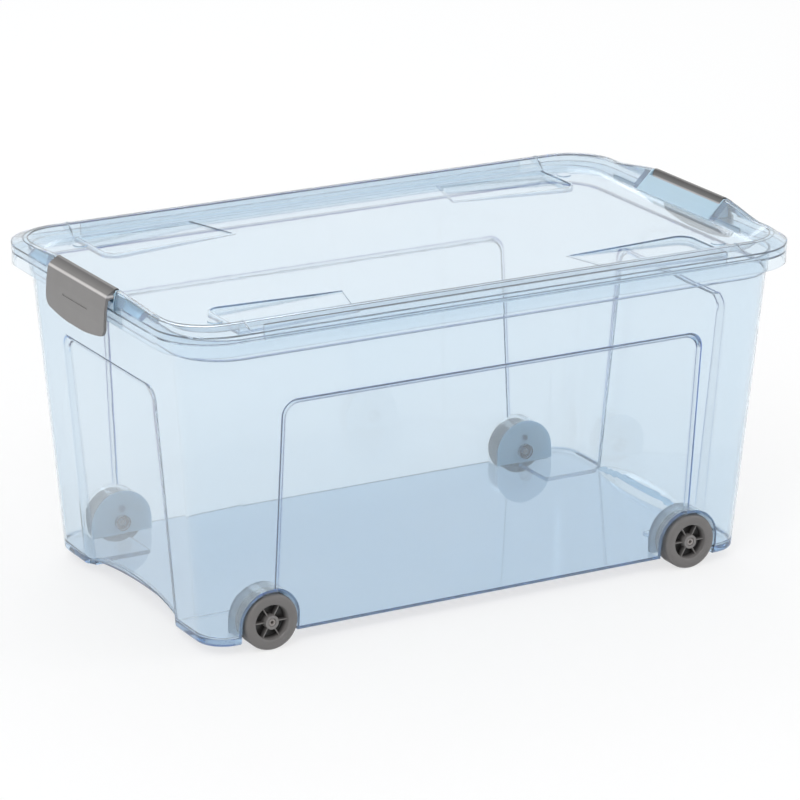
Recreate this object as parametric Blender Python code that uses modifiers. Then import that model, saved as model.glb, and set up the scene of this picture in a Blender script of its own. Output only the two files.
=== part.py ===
"""Wheeled under bed box: a clear tapered tub, a clear lid with two latches, and four wheels.

Metres, +Z up. X runs along the box, the front long side faces -Y, the left end faces -X.
The origin is on the floor under the middle of the box, and the wheels touch Z = 0.
"""
import math

import bmesh
import bpy
from mathutils import Matrix, Vector

MM = 0.001

# ---------------------------------------------------------------- driving dimensions
GAP = 0.3 * MM                      # clearance between pieces that seat on each other

# Plan of the lid, which the tub, the wheels and the latches follow
LID_HALF_LENGTH = 305.0 * MM
LID_HALF_WIDTH = 186.0 * MM
LID_CORNER_RADIUS = 50.0 * MM
RIM_IN_FROM_LID = 0.4 * MM          # the tub's rim lies this far in from the lid's edge
RIM_OVERHANG_END = 14.1 * MM        # rim beyond the tub's wall
RIM_OVERHANG_SIDE = 6.1 * MM
TAPER_END = 23.5 * MM               # how far each wall leans in from the rim to the feet
TAPER_SIDE = 25.5 * MM

# Heights
FOOT_Z = 8.0 * MM                   # feet above the ground
FOOT_HEIGHT = 4.0 * MM              # floor's underside above the feet
RIM_Z = 286.0 * MM                  # top of the tub's rim
STEP_BELOW_RIM = 17.5 * MM          # shallow step round the wall under the rim
PANEL_BELOW_RIM = 63.0 * MM         # top of the recessed panels
SKIRT_HEIGHT = 12.0 * MM            # skirt turned down round the rim

# Wheels
WHEEL_RADIUS = 25.0 * MM
WHEEL_WIDTH = 19.0 * MM
WHEEL_FROM_END = 58.5 * MM          # wheel centre in from the foot's end
WHEEL_PROUD = 1.5 * MM              # wheel face beyond the wall at axle height
WHEEL_EDGE = 2.0 * MM               # rounding of the tread's back edge
WHEEL_BACK_WALL = 6.0 * MM          # tread to the hollow in the wheel's back
RING_CREST_INSET = 5.0 * MM         # tread to the most proud circle of the rounded face
RING_WIDTH = 9.5 * MM               # tread to the open hollow in the outer face
RING_DROP = 2.6 * MM                # how far the face rounds back to the tread
WEB_THICKNESS = 2.5 * MM
DISH_DEPTH = 9.5 * MM
DISH_DRAFT = 1.2 * MM
HUB_WALL = 2.7 * MM                 # round the pin's head
HUB_EDGE = 0.5 * MM
HUB_BACK_EXTRA = 1.3 * MM           # hub's radius at the back beyond the one in front
HUB_RECESS = 0.5 * MM               # hub face behind the wheel's face
SPOKE_COUNT = 6
SPOKE_THICKNESS = 1.3 * MM
SPOKE_RECESS = 3.5 * MM
SPOKE_ROOT = 0.8 * MM               # spoke's end inside the hub
SPOKE_TIP = 0.4 * MM                # and inside the ring

# Axle pins
PIN_RADIUS = 2.5 * MM
PIN_HEAD_OVERHANG = 0.7 * MM
PIN_HEAD_LENGTH = 1.7 * MM
PIN_HEAD_EDGE = 0.4 * MM
PIN_POINT_EDGE = 0.5 * MM
PIN_WALL = 1.0 * MM                 # round the hollow in its outer end
PIN_BORE_DEPTH = 7.0 * MM
PIN_DEPTH_IN_BOSS = 6.5 * MM
PIN_FACE_RECESS = 0.4 * MM          # pin head behind the hub's face

# Tub walls and corners
WALL = 2.2 * MM
FLOOR_THICKNESS = 2.2 * MM
STEP_DEPTH = 1.2 * MM
FOOT_CORNER_RADIUS = 27.0 * MM
TOP_CORNER_RADIUS = 47.0 * MM
BASE_ROUNDING = 3.4 * MM
INNER_BASE_EXTRA = 1.0 * MM         # rounding inside the tub beyond the one outside
RIM_THICKNESS = 2.0 * MM

# Recessed panels between the corner posts
SIDE_PANEL_FROM_END = 63.0 * MM
SIDE_PANEL_DEPTH = 3.0 * MM
SIDE_PANEL_DRAFT = 2.5 * MM
SIDE_PANEL_CORNER = 15.0 * MM
END_PANEL_FROM_SIDE = 64.0 * MM
END_PANEL_TOP_DEPTH = 2.0 * MM
END_PANEL_FOOT_DEPTH = 5.0 * MM
END_PANEL_DRAFT = 11.0 * MM
END_PANEL_CORNER = 12.0 * MM

# Feet and the arched scoop under each end
FOOT_IN_FROM_PANEL = 6.0 * MM       # inner side of the feet, in from the end panel's edge
SCOOP_IN_FROM_PANEL = 2.0 * MM
SCOOP_HEIGHT = 14.5 * MM            # rise of the end wall's lower edge above the floor
SCOOP_REACH = 16.0 * MM             # how far the scoop goes in under the floor
SCOOP_SINK = 6.0 * MM               # scoop's widest level below the floor

# Wheel wells
WELL_CLEARANCE = 2.2 * MM           # round the wheel
WELL_END_CLEARANCE = 4.0 * MM       # behind the wheel
BOSS_WALL = 4.2 * MM                # round the pin
BOSS_INSIDE = 4.0 * MM              # boss into the tub
WHEEL_END_PLAY = 0.6 * MM           # wheel to boss

# Lid section
LID_THICKNESS = 2.0 * MM
LIP_HEIGHT = 6.1 * MM               # lip above the rim
LIP_ROUNDING = 1.4 * MM
CREST_HEIGHT = 11.7 * MM            # crest above the rim
CREST_INSET_END = 10.0 * MM         # lip to crest, at the ends
CREST_INSET_SIDE = 18.0 * MM        # lip to crest, along the sides
CREST_CORNER_RADIUS = 40.0 * MM
CREST_ROUNDING = 3.0 * MM
PANEL_INSET_END = 23.0 * MM         # lip to the flat panel
PANEL_INSET_SIDE = 30.0 * MM
PANEL_CORNER_RADIUS = 34.0 * MM
SHOULDER_RISE = 6.0 * MM            # crest beside each latch above the crest elsewhere
SHOULDER_OUT = 4.5 * MM             # and further out
SHOULDER_BESIDE_LATCH = 3.0 * MM    # full height ends this far from the latch
SHOULDER_TO_CORNER = 4.0 * MM       # and the slope ends this far from the panel's corner
SHELF_ABOVE_LIP = 2.0 * MM          # flat edge of the lid along the latch's foot
SHELF_FROM_END = 15.5 * MM
TICK_FROM_END = 65.0 * MM           # thin webs across the rim of the long sides
TICK_THICKNESS = 1.4 * MM
TICK_PROUD = 0.6 * MM
NUB_FROM_END = 58.5 * MM            # low round nubs beside the ramps
NUB_FROM_SIDE = 56.0 * MM
NUB_RADIUS = 7.0 * MM
NUB_HEIGHT = 0.8 * MM
RIB_THICKNESS = 1.5 * MM            # ribs that locate the lid in the tub
RIB_DEPTH_IN_TUB = 3.5 * MM
RIB_CLEARANCE = 1.0 * MM
SIDE_RIB_FROM_END = 65.5 * MM       # in from the tub's end wall
END_RIB_FROM_SIDE = 74.5 * MM       # in from the tub's side wall

# Shallow ramps in the lid that park the wheels of a box stacked on it
RAMP_FROM_END = 68.0 * MM
RAMP_FROM_PANEL_EDGE = 1.0 * MM
RAMP_LENGTH = 125.0 * MM            # along its inner edge
RAMP_SKEW = 16.0 * MM               # shorter by this along its outer edge
RAMP_DEEP_WIDTH = 62.0 * MM
RAMP_SHALLOW_WIDTH = 54.0 * MM
RAMP_DEPTH = 4.5 * MM
RAMP_LEAST_DEPTH = 0.8 * MM
RAMP_CORNER = 12.0 * MM

# Latches
LATCH_HALF_WIDTH = 57.0 * MM
LATCH_SIDE_GAP = 0.8 * MM
LATCH_PROUD = 8.3 * MM              # plate's outer face beyond the lid's edge
LATCH_LEAN = 2.3 * MM               # the plate's top is this much nearer the box
LATCH_THICKNESS = 2.5 * MM
LATCH_ABOVE_SHOULDER = 1.0 * MM     # latch's crest above the lid's
LATCH_CREST_FROM_END = 5.3 * MM
LATCH_CREST_WIDTH = 2.5 * MM
LATCH_CREST_EDGE = 1.0 * MM
LATCH_FOOT_FROM_END = 9.7 * MM
LATCH_FOOT_CLEARANCE = 0.4 * MM     # foot above the shelf
LATCH_SLOPE_DROP = 5.8 * MM         # crest to the shoulder of the plate
LATCH_SHOULDER_HEIGHT = 3.2 * MM    # length over which the plate turns down
LATCH_FLARE_FROM = 13.0 * MM        # the plate flares out between these depths under the shoulder
LATCH_FLARE_TO = 25.0 * MM
LATCH_BELOW_SKIRT = 15.5 * MM
LATCH_EDGE = 0.6 * MM
LATCH_BOW = 4.5 * MM                # lower edge rises this much towards the corners
LATCH_CORNER_RADIUS = 9.0 * MM
HINGE_FROM_END = 3.5 * MM
HINGE_BELOW_CREST = 5.5 * MM
HINGE_BAR_RADIUS = 2.0 * MM
HINGE_SLOT = 3.4 * MM               # mouth of the clip, narrower than the bar
HINGE_WEB = 1.2 * MM                # under the bar
CATCH_BITE = 1.3 * MM               # catch under the skirt
CATCH_HALF_WIDTH = 42.0 * MM
CATCH_SLOPE = math.radians(46.0)
CATCH_TIP = 1.6 * MM
CATCH_ROOT_BELOW_SKIRT = 8.5 * MM
GROOVE_HALF_LENGTH = 24.0 * MM
GROOVE_HEIGHT = 1.6 * MM
GROOVE_DEPTH = 0.8 * MM
GROOVE_ABOVE_EDGE = 22.0 * MM
CHEEK_THICKNESS = 2.0 * MM

WELD = 0.002 * MM                   # points nearer than this are one point
OVERSHOOT = 6.0 * MM                # how far a cutter runs past the surface that it cuts

# Smoothness of the faceted round shapes
CORNER_STEPS = 7
ROUND_STEPS = 36
ARCH_STEPS = 12
SHOULDER_STEPS = 5

# ---------------------------------------------------------------- worked-out values
RIM_HALF_LENGTH = LID_HALF_LENGTH - RIM_IN_FROM_LID
RIM_HALF_WIDTH = LID_HALF_WIDTH - RIM_IN_FROM_LID
RIM_CORNER_RADIUS = LID_CORNER_RADIUS - RIM_IN_FROM_LID
TOP_HALF_LENGTH = RIM_HALF_LENGTH - RIM_OVERHANG_END
TOP_HALF_WIDTH = RIM_HALF_WIDTH - RIM_OVERHANG_SIDE
FOOT_HALF_LENGTH = TOP_HALF_LENGTH - TAPER_END
FOOT_HALF_WIDTH = TOP_HALF_WIDTH - TAPER_SIDE
WALL_SLOPE_X = TAPER_END / (RIM_Z - FOOT_Z)
WALL_SLOPE_Y = TAPER_SIDE / (RIM_Z - FOOT_Z)
FLOOR_UNDERSIDE_Z = FOOT_Z + FOOT_HEIGHT
FLOOR_Z = FLOOR_UNDERSIDE_Z + FLOOR_THICKNESS
STEP_Z = RIM_Z - STEP_BELOW_RIM
PANEL_TOP_Z = RIM_Z - PANEL_BELOW_RIM
SKIRT_BOTTOM_Z = RIM_Z - SKIRT_HEIGHT
SIDE_PANEL_HALF_LENGTH = FOOT_HALF_LENGTH - SIDE_PANEL_FROM_END
END_PANEL_HALF_WIDTH = FOOT_HALF_WIDTH - END_PANEL_FROM_SIDE
FOOT_INNER_Y = END_PANEL_HALF_WIDTH - FOOT_IN_FROM_PANEL
SCOOP_HALF_WIDTH = END_PANEL_HALF_WIDTH - SCOOP_IN_FROM_PANEL

AXLE_Z = WHEEL_RADIUS
WHEEL_AT_X = FOOT_HALF_LENGTH - WHEEL_FROM_END
WHEEL_FACE_Y = FOOT_HALF_WIDTH + WALL_SLOPE_Y * (AXLE_Z - FOOT_Z) + WHEEL_PROUD
WHEEL_BACK_Y = WHEEL_FACE_Y - WHEEL_WIDTH
RING_CREST_RADIUS = WHEEL_RADIUS - RING_CREST_INSET
DISH_RADIUS = WHEEL_RADIUS - RING_WIDTH
BACK_HOLLOW_RADIUS = WHEEL_RADIUS - WHEEL_BACK_WALL
PIN_HEAD_RADIUS = PIN_RADIUS + PIN_HEAD_OVERHANG
PIN_BORE_RADIUS = PIN_RADIUS - PIN_WALL
HUB_RADIUS = PIN_HEAD_RADIUS + GAP + HUB_WALL
HUB_BACK_RADIUS = HUB_RADIUS + HUB_BACK_EXTRA
WELL_RADIUS = WHEEL_RADIUS + WELL_CLEARANCE
WELL_END_Y = WHEEL_BACK_Y - WELL_END_CLEARANCE
BOSS_RADIUS = PIN_RADIUS + GAP + BOSS_WALL
BOSS_FACE_Y = WHEEL_BACK_Y - WHEEL_END_PLAY
BOSS_BACK_Y = WELL_END_Y - WALL - BOSS_INSIDE
PIN_FACE_Y = WHEEL_FACE_Y - HUB_RECESS - PIN_FACE_RECESS
PIN_END_Y = BOSS_FACE_Y - PIN_DEPTH_IN_BOSS

LID_BOTTOM_Z = RIM_Z + GAP
LIP_TOP_Z = LID_BOTTOM_Z + LIP_HEIGHT
CREST_Z = LID_BOTTOM_Z + CREST_HEIGHT
PANEL_Z = RIM_Z + LID_THICKNESS     # the panel's underside is level with the rim
SHELF_Z = LIP_TOP_Z + SHELF_ABOVE_LIP
SHELF_X = LID_HALF_LENGTH - SHELF_FROM_END
SHOULDER_FULL_Y = LATCH_HALF_WIDTH + SHOULDER_BESIDE_LATCH
SHOULDER_FROM_Y = LID_HALF_WIDTH - PANEL_INSET_SIDE - PANEL_CORNER_RADIUS - SHOULDER_TO_CORNER
TICK_AT_X = LID_HALF_LENGTH - TICK_FROM_END
NUB_AT = (LID_HALF_LENGTH - NUB_FROM_END, LID_HALF_WIDTH - NUB_FROM_SIDE)
RIB_BOTTOM_Z = RIM_Z - RIB_DEPTH_IN_TUB
SIDE_RIB_HALF_LENGTH = TOP_HALF_LENGTH - SIDE_RIB_FROM_END
END_RIB_HALF_WIDTH = TOP_HALF_WIDTH - END_RIB_FROM_SIDE
RAMP_DEEP_X = LID_HALF_LENGTH - RAMP_FROM_END
RAMP_SHALLOW_X = RAMP_DEEP_X - RAMP_LENGTH
RAMP_OUTER_Y = LID_HALF_WIDTH - PANEL_INSET_SIDE - RAMP_FROM_PANEL_EDGE
RAMP_INNER_Y_DEEP = RAMP_OUTER_Y - RAMP_DEEP_WIDTH
RAMP_INNER_Y_SHALLOW = RAMP_OUTER_Y - RAMP_SHALLOW_WIDTH

LATCH_FACE_X = LID_HALF_LENGTH + LATCH_PROUD
LATCH_CREST_X = LID_HALF_LENGTH - LATCH_CREST_FROM_END
LATCH_FOOT_X = LID_HALF_LENGTH - LATCH_FOOT_FROM_END
LATCH_TOP_Z = CREST_Z + SHOULDER_RISE + LATCH_ABOVE_SHOULDER
LATCH_SHOULDER_Z = LATCH_TOP_Z - LATCH_SLOPE_DROP
LATCH_BOTTOM_Z = SKIRT_BOTTOM_Z - LATCH_BELOW_SKIRT
LATCH_FOOT_Z = SHELF_Z + LATCH_FOOT_CLEARANCE
HINGE_X = LID_HALF_LENGTH - HINGE_FROM_END
HINGE_Z = LATCH_TOP_Z - HINGE_BELOW_CREST
CATCH_ROOT_Z = SKIRT_BOTTOM_Z - CATCH_ROOT_BELOW_SKIRT
GROOVE_Z = LATCH_BOTTOM_Z + GROOVE_ABOVE_EDGE
POCKET_HALF_WIDTH = LATCH_HALF_WIDTH + LATCH_SIDE_GAP
POCKET_X = LATCH_FOOT_X - GAP


# ---------------------------------------------------------------- small tools
def clear_scene():
    for item in list(bpy.data.objects):
        bpy.data.objects.remove(item, do_unlink=True)


def new_collection(name):
    collection = bpy.data.collections.new(name)
    bpy.context.scene.collection.children.link(collection)
    return collection


def material(name, colour, roughness, metallic=0.0, alpha=1.0):
    made = bpy.data.materials.new(name)
    made.use_nodes = True
    shader = made.node_tree.nodes["Principled BSDF"]
    shader.inputs["Base Color"].default_value = (*colour, 1.0)
    shader.inputs["Roughness"].default_value = roughness
    shader.inputs["Metallic"].default_value = metallic
    shader.inputs["Alpha"].default_value = alpha
    made.diffuse_color = (*colour, alpha)
    return made


def mesh_object(name, shape, collection):
    """Turn a bmesh into an object in the given collection."""
    bmesh.ops.recalc_face_normals(shape, faces=shape.faces)
    mesh = bpy.data.meshes.new(name)
    shape.to_mesh(mesh)
    shape.free()
    made = bpy.data.objects.new(name, mesh)
    collection.objects.link(made)
    return made


def as_cutter(item):
    item.hide_render = True
    item.display_type = "WIRE"
    return item


def smooth(item, angle=math.radians(35.0)):
    item.data.shade_smooth()
    item.data.set_sharp_from_angle(angle=angle)


def loft(name, loops, collection):
    """Closed solid through a stack of loops that have equally many points."""
    shape = bmesh.new()
    rings = [[shape.verts.new(point) for point in loop] for loop in loops]
    for lower, upper in zip(rings, rings[1:]):
        for index in range(len(lower)):
            following = (index + 1) % len(lower)
            shape.faces.new((lower[index], lower[following], upper[following], upper[index]))
    shape.faces.new(rings[0])
    shape.faces.new(rings[-1])
    return mesh_object(name, shape, collection)


def hull(name, points, collection):
    """Convex solid round a few points."""
    shape = bmesh.new()
    for point in points:
        shape.verts.new(point)
    found = bmesh.ops.convex_hull(shape, input=shape.verts)
    loose = [item for item in found["geom_interior"] if isinstance(item, bmesh.types.BMVert)]
    bmesh.ops.delete(shape, geom=loose, context="VERTS")
    return mesh_object(name, shape, collection)


def box(name, low, high, collection):
    centre = (Vector(low) + Vector(high)) / 2
    size = Vector(high) - Vector(low)
    shape = bmesh.new()
    bmesh.ops.create_cube(shape, size=1.0, matrix=Matrix.Translation(centre) @ Matrix.Diagonal((*size, 1.0)))
    return mesh_object(name, shape, collection)


def cylinder_along_y(name, radius, centre_x, centre_z, low_y, high_y, collection, steps=ROUND_STEPS):
    shape = bmesh.new()
    place = Matrix.Translation((centre_x, (low_y + high_y) / 2, centre_z))
    bmesh.ops.create_cone(shape, cap_ends=True, segments=steps, radius1=radius, radius2=radius,
                          depth=high_y - low_y, matrix=place @ Matrix.Rotation(math.pi / 2, 4, "X"))
    return mesh_object(name, shape, collection)


def boolean(target, other, operation):
    """Apply one exact Boolean, close up the points it leaves together, and remove the other solid."""
    modifier = target.modifiers.new(operation.title(), "BOOLEAN")
    modifier.operation = operation
    modifier.object = other
    modifier.solver = "EXACT"
    graph = bpy.context.evaluated_depsgraph_get()
    result = bpy.data.meshes.new_from_object(target.evaluated_get(graph))
    tidied = bmesh.new()
    tidied.from_mesh(result)
    bmesh.ops.remove_doubles(tidied, verts=tidied.verts, dist=WELD)
    bmesh.ops.dissolve_degenerate(tidied, edges=tidied.edges, dist=WELD)
    tidied.to_mesh(result)
    tidied.free()
    old = target.data
    target.modifiers.clear()
    target.data = result
    result.name = target.name
    bpy.data.meshes.remove(old)
    bpy.data.objects.remove(other, do_unlink=True)


def give(item, finish):
    item.data.materials.clear()
    item.data.materials.append(finish)


def rounded_outline(half_x, half_y, radius, end_stations=()):
    """Rounded rectangle as (x, y) points, anticlockwise, with extra points along both ends."""
    points = []
    for corner, (side_x, side_y) in enumerate(((1, 1), (-1, 1), (-1, -1), (1, -1))):
        for step in range(CORNER_STEPS + 1):
            angle = math.radians(90.0) * (corner + step / CORNER_STEPS)
            points.append((side_x * (half_x - radius) + radius * math.cos(angle),
                           side_y * (half_y - radius) + radius * math.sin(angle)))
        if corner == 1:
            points.extend((-half_x, y) for y in sorted(end_stations, reverse=True))
        if corner == 3:
            points.extend((half_x, y) for y in sorted(end_stations))
    return points


def at_height(outline, height):
    return [(x, y, height) for x, y in outline]


# ---------------------------------------------------------------- tub
def wall_x(height):
    return FOOT_HALF_LENGTH + WALL_SLOPE_X * (height - FOOT_Z)


def wall_y(height):
    return FOOT_HALF_WIDTH + WALL_SLOPE_Y * (height - FOOT_Z)


def wall_radius(height):
    share = (height - FOOT_Z) / (RIM_Z - FOOT_Z)
    return FOOT_CORNER_RADIUS + share * (TOP_CORNER_RADIUS - FOOT_CORNER_RADIUS)


def wall_loop(height, inset):
    outline = rounded_outline(wall_x(height) - inset, wall_y(height) - inset, wall_radius(height) - inset)
    return at_height(outline, height)


def tapered_body(name, bottom, top, inset, rounding, step_inset, collection):
    """Tapered box with a rounded base edge and the shallow step under the rim."""
    quarter = [math.radians(90.0) * step / 3 for step in range(4)]
    base_inset = inset + step_inset
    loops = [wall_loop(bottom + rounding * (1 - math.cos(a)), base_inset + rounding * (1 - math.sin(a)))
             for a in quarter]
    loops.append(wall_loop(STEP_Z - STEP_DEPTH, inset + step_inset))
    loops.append(wall_loop(STEP_Z, inset))
    loops.append(wall_loop(top, inset))
    return loft(name, loops, collection)


def panel_outline(half_width, top, corner, bottom):
    """Arch-topped outline (across, up) with two rounded upper corners."""
    points = [(half_width, bottom)]
    for side, start in ((1, 0.0), (-1, 90.0)):
        for step in range(5):
            angle = math.radians(start + 22.5 * step)
            points.append((side * (half_width - corner) + corner * math.cos(angle),
                           top - corner + corner * math.sin(angle)))
    points.append((-half_width, bottom))
    return points


def side_panel(side, grow, collection):
    """Recess of a long wall, or the block that keeps the wall's thickness behind it."""
    below = -BASE_ROUNDING
    outer = panel_outline(SIDE_PANEL_HALF_LENGTH + grow, PANEL_TOP_Z + grow, SIDE_PANEL_CORNER, below)
    inner = panel_outline(SIDE_PANEL_HALF_LENGTH - SIDE_PANEL_DRAFT + grow, PANEL_TOP_Z - SIDE_PANEL_DRAFT + grow,
                          SIDE_PANEL_CORNER - SIDE_PANEL_DRAFT, below)
    loops = []
    for outline, depth in ((outer, -OVERSHOOT), (outer, grow), (inner, SIDE_PANEL_DEPTH + grow)):
        loops.append([(x, side * (wall_y(z) - STEP_DEPTH - depth), z) for x, z in outline])
    return loft("side_panel", loops, collection)


def end_panel(side, grow, collection):
    """Recess of an end wall, deeper towards the floor."""
    below = -BASE_ROUNDING
    outer = panel_outline(END_PANEL_HALF_WIDTH + grow, PANEL_TOP_Z + grow, END_PANEL_CORNER, below)
    inner = panel_outline(END_PANEL_HALF_WIDTH - END_PANEL_DRAFT + grow, PANEL_TOP_Z - END_PANEL_TOP_DEPTH + grow,
                          END_PANEL_CORNER, below)

    def depth_at(height):
        share = (PANEL_TOP_Z - height) / (PANEL_TOP_Z - FLOOR_UNDERSIDE_Z)
        return END_PANEL_TOP_DEPTH + share * (END_PANEL_FOOT_DEPTH - END_PANEL_TOP_DEPTH)

    loops = [
        [(side * (wall_x(z) - STEP_DEPTH + OVERSHOOT), y, z) for y, z in outer],
        [(side * (wall_x(z) - STEP_DEPTH - grow), y, z) for y, z in outer],
        [(side * (wall_x(z) - STEP_DEPTH - depth_at(z) - grow), y, z) for y, z in inner],
    ]
    return loft("end_panel", loops, collection)


def well(side_x, side_y, grow, collection):
    """Arch-shaped pocket for a wheel, open below and to the side."""
    radius = WELL_RADIUS + grow
    centre_x = side_x * WHEEL_AT_X
    outline = [(centre_x + radius, -BASE_ROUNDING)]
    for step in range(ARCH_STEPS + 1):
        angle = math.pi * step / ARCH_STEPS
        outline.append((centre_x + radius * math.cos(angle), AXLE_Z + radius * math.sin(angle)))
    outline.append((centre_x - radius, -BASE_ROUNDING))
    reach = (WELL_END_Y - grow, TOP_HALF_WIDTH)
    return loft("well", [[(x, side_y * y, z) for x, z in outline] for y in reach], collection)


def scoop(side, grow, collection):
    """Egg-shaped hollow under an end wall."""
    shape = bmesh.new()
    bmesh.ops.create_uvsphere(shape, u_segments=24, v_segments=16, radius=1.0)
    height = SCOOP_HEIGHT + SCOOP_SINK
    widen = math.sqrt(1 - (SCOOP_SINK / height) ** 2)
    size = (SCOOP_REACH / widen + grow, SCOOP_HALF_WIDTH / widen + grow, height + grow)
    centre_x = side * (wall_x(FLOOR_UNDERSIDE_Z) - END_PANEL_FOOT_DEPTH / 2)
    centre = (centre_x, 0.0, FLOOR_UNDERSIDE_Z - SCOOP_SINK)
    for vertex in shape.verts:
        vertex.co = Vector(value * scale for value, scale in zip(vertex.co, size)) + Vector(centre)
    return mesh_object("scoop", shape, collection)


def each_wheel():
    return [(side_x, side_y) for side_y in (-1, 1) for side_x in (-1, 1)]


def make_cavity(cutters):
    rounding = BASE_ROUNDING + INNER_BASE_EXTRA
    cavity = tapered_body("cavity", FLOOR_Z, RIM_Z + OVERSHOOT, WALL, rounding, STEP_DEPTH, cutters)
    for side in (-1, 1):
        boolean(cavity, side_panel(side, WALL, cutters), "DIFFERENCE")
        boolean(cavity, end_panel(side, WALL, cutters), "DIFFERENCE")
        boolean(cavity, scoop(side, WALL, cutters), "DIFFERENCE")
    for side_x, side_y in each_wheel():
        boolean(cavity, well(side_x, side_y, WALL, cutters), "DIFFERENCE")
        boss = cylinder_along_y("boss", BOSS_RADIUS, side_x * WHEEL_AT_X, AXLE_Z,
                                *sorted((side_y * BOSS_BACK_Y, side_y * WELL_END_Y)), cutters, 24)
        boolean(cavity, boss, "DIFFERENCE")
    return cavity


def make_rim(collection):
    outline = rounded_outline(RIM_HALF_LENGTH, RIM_HALF_WIDTH, RIM_CORNER_RADIUS)
    rim = loft("rim", [at_height(outline, SKIRT_BOTTOM_Z), at_height(outline, RIM_Z)], collection)
    inner = rounded_outline(RIM_HALF_LENGTH - RIM_THICKNESS, RIM_HALF_WIDTH - RIM_THICKNESS,
                            RIM_CORNER_RADIUS - RIM_THICKNESS)
    under = loft("under", [at_height(inner, SKIRT_BOTTOM_Z - OVERSHOOT),
                           at_height(inner, RIM_Z - RIM_THICKNESS)], collection)
    boolean(rim, under, "DIFFERENCE")
    return rim


def make_tub(parts, cutters, finish):
    tub = tapered_body("tub", FOOT_Z, RIM_Z, 0.0, BASE_ROUNDING, STEP_DEPTH, parts)
    boolean(tub, make_rim(cutters), "UNION")
    for side in (-1, 1):
        boolean(tub, side_panel(side, 0.0, cutters), "DIFFERENCE")
        boolean(tub, end_panel(side, 0.0, cutters), "DIFFERENCE")
    # The floor's underside lies above the four feet.
    wide = RIM_HALF_LENGTH
    boolean(tub, box("under_middle", (-SIDE_PANEL_HALF_LENGTH, -wide, -OVERSHOOT),
                     (SIDE_PANEL_HALF_LENGTH, wide, FLOOR_UNDERSIDE_Z), cutters), "DIFFERENCE")
    for side in (-1, 1):
        low, high = sorted((side * (SIDE_PANEL_HALF_LENGTH - OVERSHOOT), side * wide))
        boolean(tub, box("under_end", (low, -FOOT_INNER_Y, -OVERSHOOT),
                         (high, FOOT_INNER_Y, FLOOR_UNDERSIDE_Z), cutters), "DIFFERENCE")
        boolean(tub, scoop(side, 0.0, cutters), "DIFFERENCE")
    for side_x, side_y in each_wheel():
        boolean(tub, well(side_x, side_y, 0.0, cutters), "DIFFERENCE")
    boolean(tub, make_cavity(cutters), "DIFFERENCE")
    for side_x, side_y in each_wheel():
        low, high = sorted((side_y * (WELL_END_Y - WALL / 2), side_y * BOSS_FACE_Y))
        boolean(tub, cylinder_along_y("spacer", BOSS_RADIUS, side_x * WHEEL_AT_X, AXLE_Z, low, high, cutters, 24),
                "UNION")
        low, high = sorted((side_y * (PIN_END_Y - GAP), side_y * WHEEL_FACE_Y))
        boolean(tub, cylinder_along_y("pin_seat", PIN_RADIUS + GAP, side_x * WHEEL_AT_X, AXLE_Z, low, high,
                                      cutters, 24), "DIFFERENCE")
    give(tub, finish)
    return tub


# ---------------------------------------------------------------- lid
def shoulder_share(y):
    """0 far from the latch, 1 beside it."""
    share = (SHOULDER_FROM_Y - abs(y)) / (SHOULDER_FROM_Y - SHOULDER_FULL_Y)
    share = min(1.0, max(0.0, share))
    return (share + share * share * (3 - 2 * share)) / 2


def lid_loop(inset_end, inset_side, radius, height, raised=0.0):
    """One level of the lid; the raised part climbs beside the latches."""
    pitch = (SHOULDER_FROM_Y - SHOULDER_FULL_Y) / SHOULDER_STEPS
    spots = [SHOULDER_FULL_Y + pitch * step for step in range(SHOULDER_STEPS + 1)]
    stations = [side * y for y in spots for side in (-1, 1)]
    outline = rounded_outline(LID_HALF_LENGTH - inset_end, LID_HALF_WIDTH - inset_side, radius, stations)
    loop = []
    for x, y in outline:
        lift = raised * shoulder_share(y)
        loop.append((x + math.copysign(lift * SHOULDER_OUT, x), y, height + lift * SHOULDER_RISE))
    return loop


def make_lid_shell(parts):
    """Open surface from the lip over the crest to the flat panel, given its thickness by Solidify."""
    loops = [
        lid_loop(0.0, 0.0, LID_CORNER_RADIUS, LID_BOTTOM_Z),
        lid_loop(0.0, 0.0, LID_CORNER_RADIUS, LIP_TOP_Z - LIP_ROUNDING),
        lid_loop(LIP_ROUNDING, LIP_ROUNDING, LID_CORNER_RADIUS - LIP_ROUNDING, LIP_TOP_Z),
        lid_loop(CREST_INSET_END - CREST_ROUNDING, CREST_INSET_SIDE - CREST_ROUNDING,
                 CREST_CORNER_RADIUS + CREST_ROUNDING, CREST_Z - CREST_ROUNDING / 6, 1.0),
        lid_loop(CREST_INSET_END, CREST_INSET_SIDE, CREST_CORNER_RADIUS, CREST_Z, 1.0),
        lid_loop(CREST_INSET_END + CREST_ROUNDING / 2, CREST_INSET_SIDE + CREST_ROUNDING / 2,
                 CREST_CORNER_RADIUS - CREST_ROUNDING / 2, CREST_Z - CREST_ROUNDING / 3, 1.0),
        lid_loop(PANEL_INSET_END, PANEL_INSET_SIDE, PANEL_CORNER_RADIUS, PANEL_Z),
    ]
    shape = bmesh.new()
    rings = [[shape.verts.new(point) for point in loop] for loop in loops]
    for lower, upper in zip(rings, rings[1:]):
        for index in range(len(lower)):
            following = (index + 1) % len(lower)
            shape.faces.new((lower[index], lower[following], upper[following], upper[index]))
    shape.faces.new(rings[-1])
    mesh = bpy.data.meshes.new("lid")
    shape.to_mesh(mesh)
    shape.free()
    lid = bpy.data.objects.new("lid", mesh)
    parts.objects.link(lid)
    wall = lid.modifiers.new("Wall", "SOLIDIFY")
    wall.thickness = LID_THICKNESS
    wall.offset = -1.0
    wall.use_even_offset = True
    graph = bpy.context.evaluated_depsgraph_get()
    lid.data = bpy.data.meshes.new_from_object(lid.evaluated_get(graph))
    lid.modifiers.clear()
    bpy.data.meshes.remove(mesh)
    return lid


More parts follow.
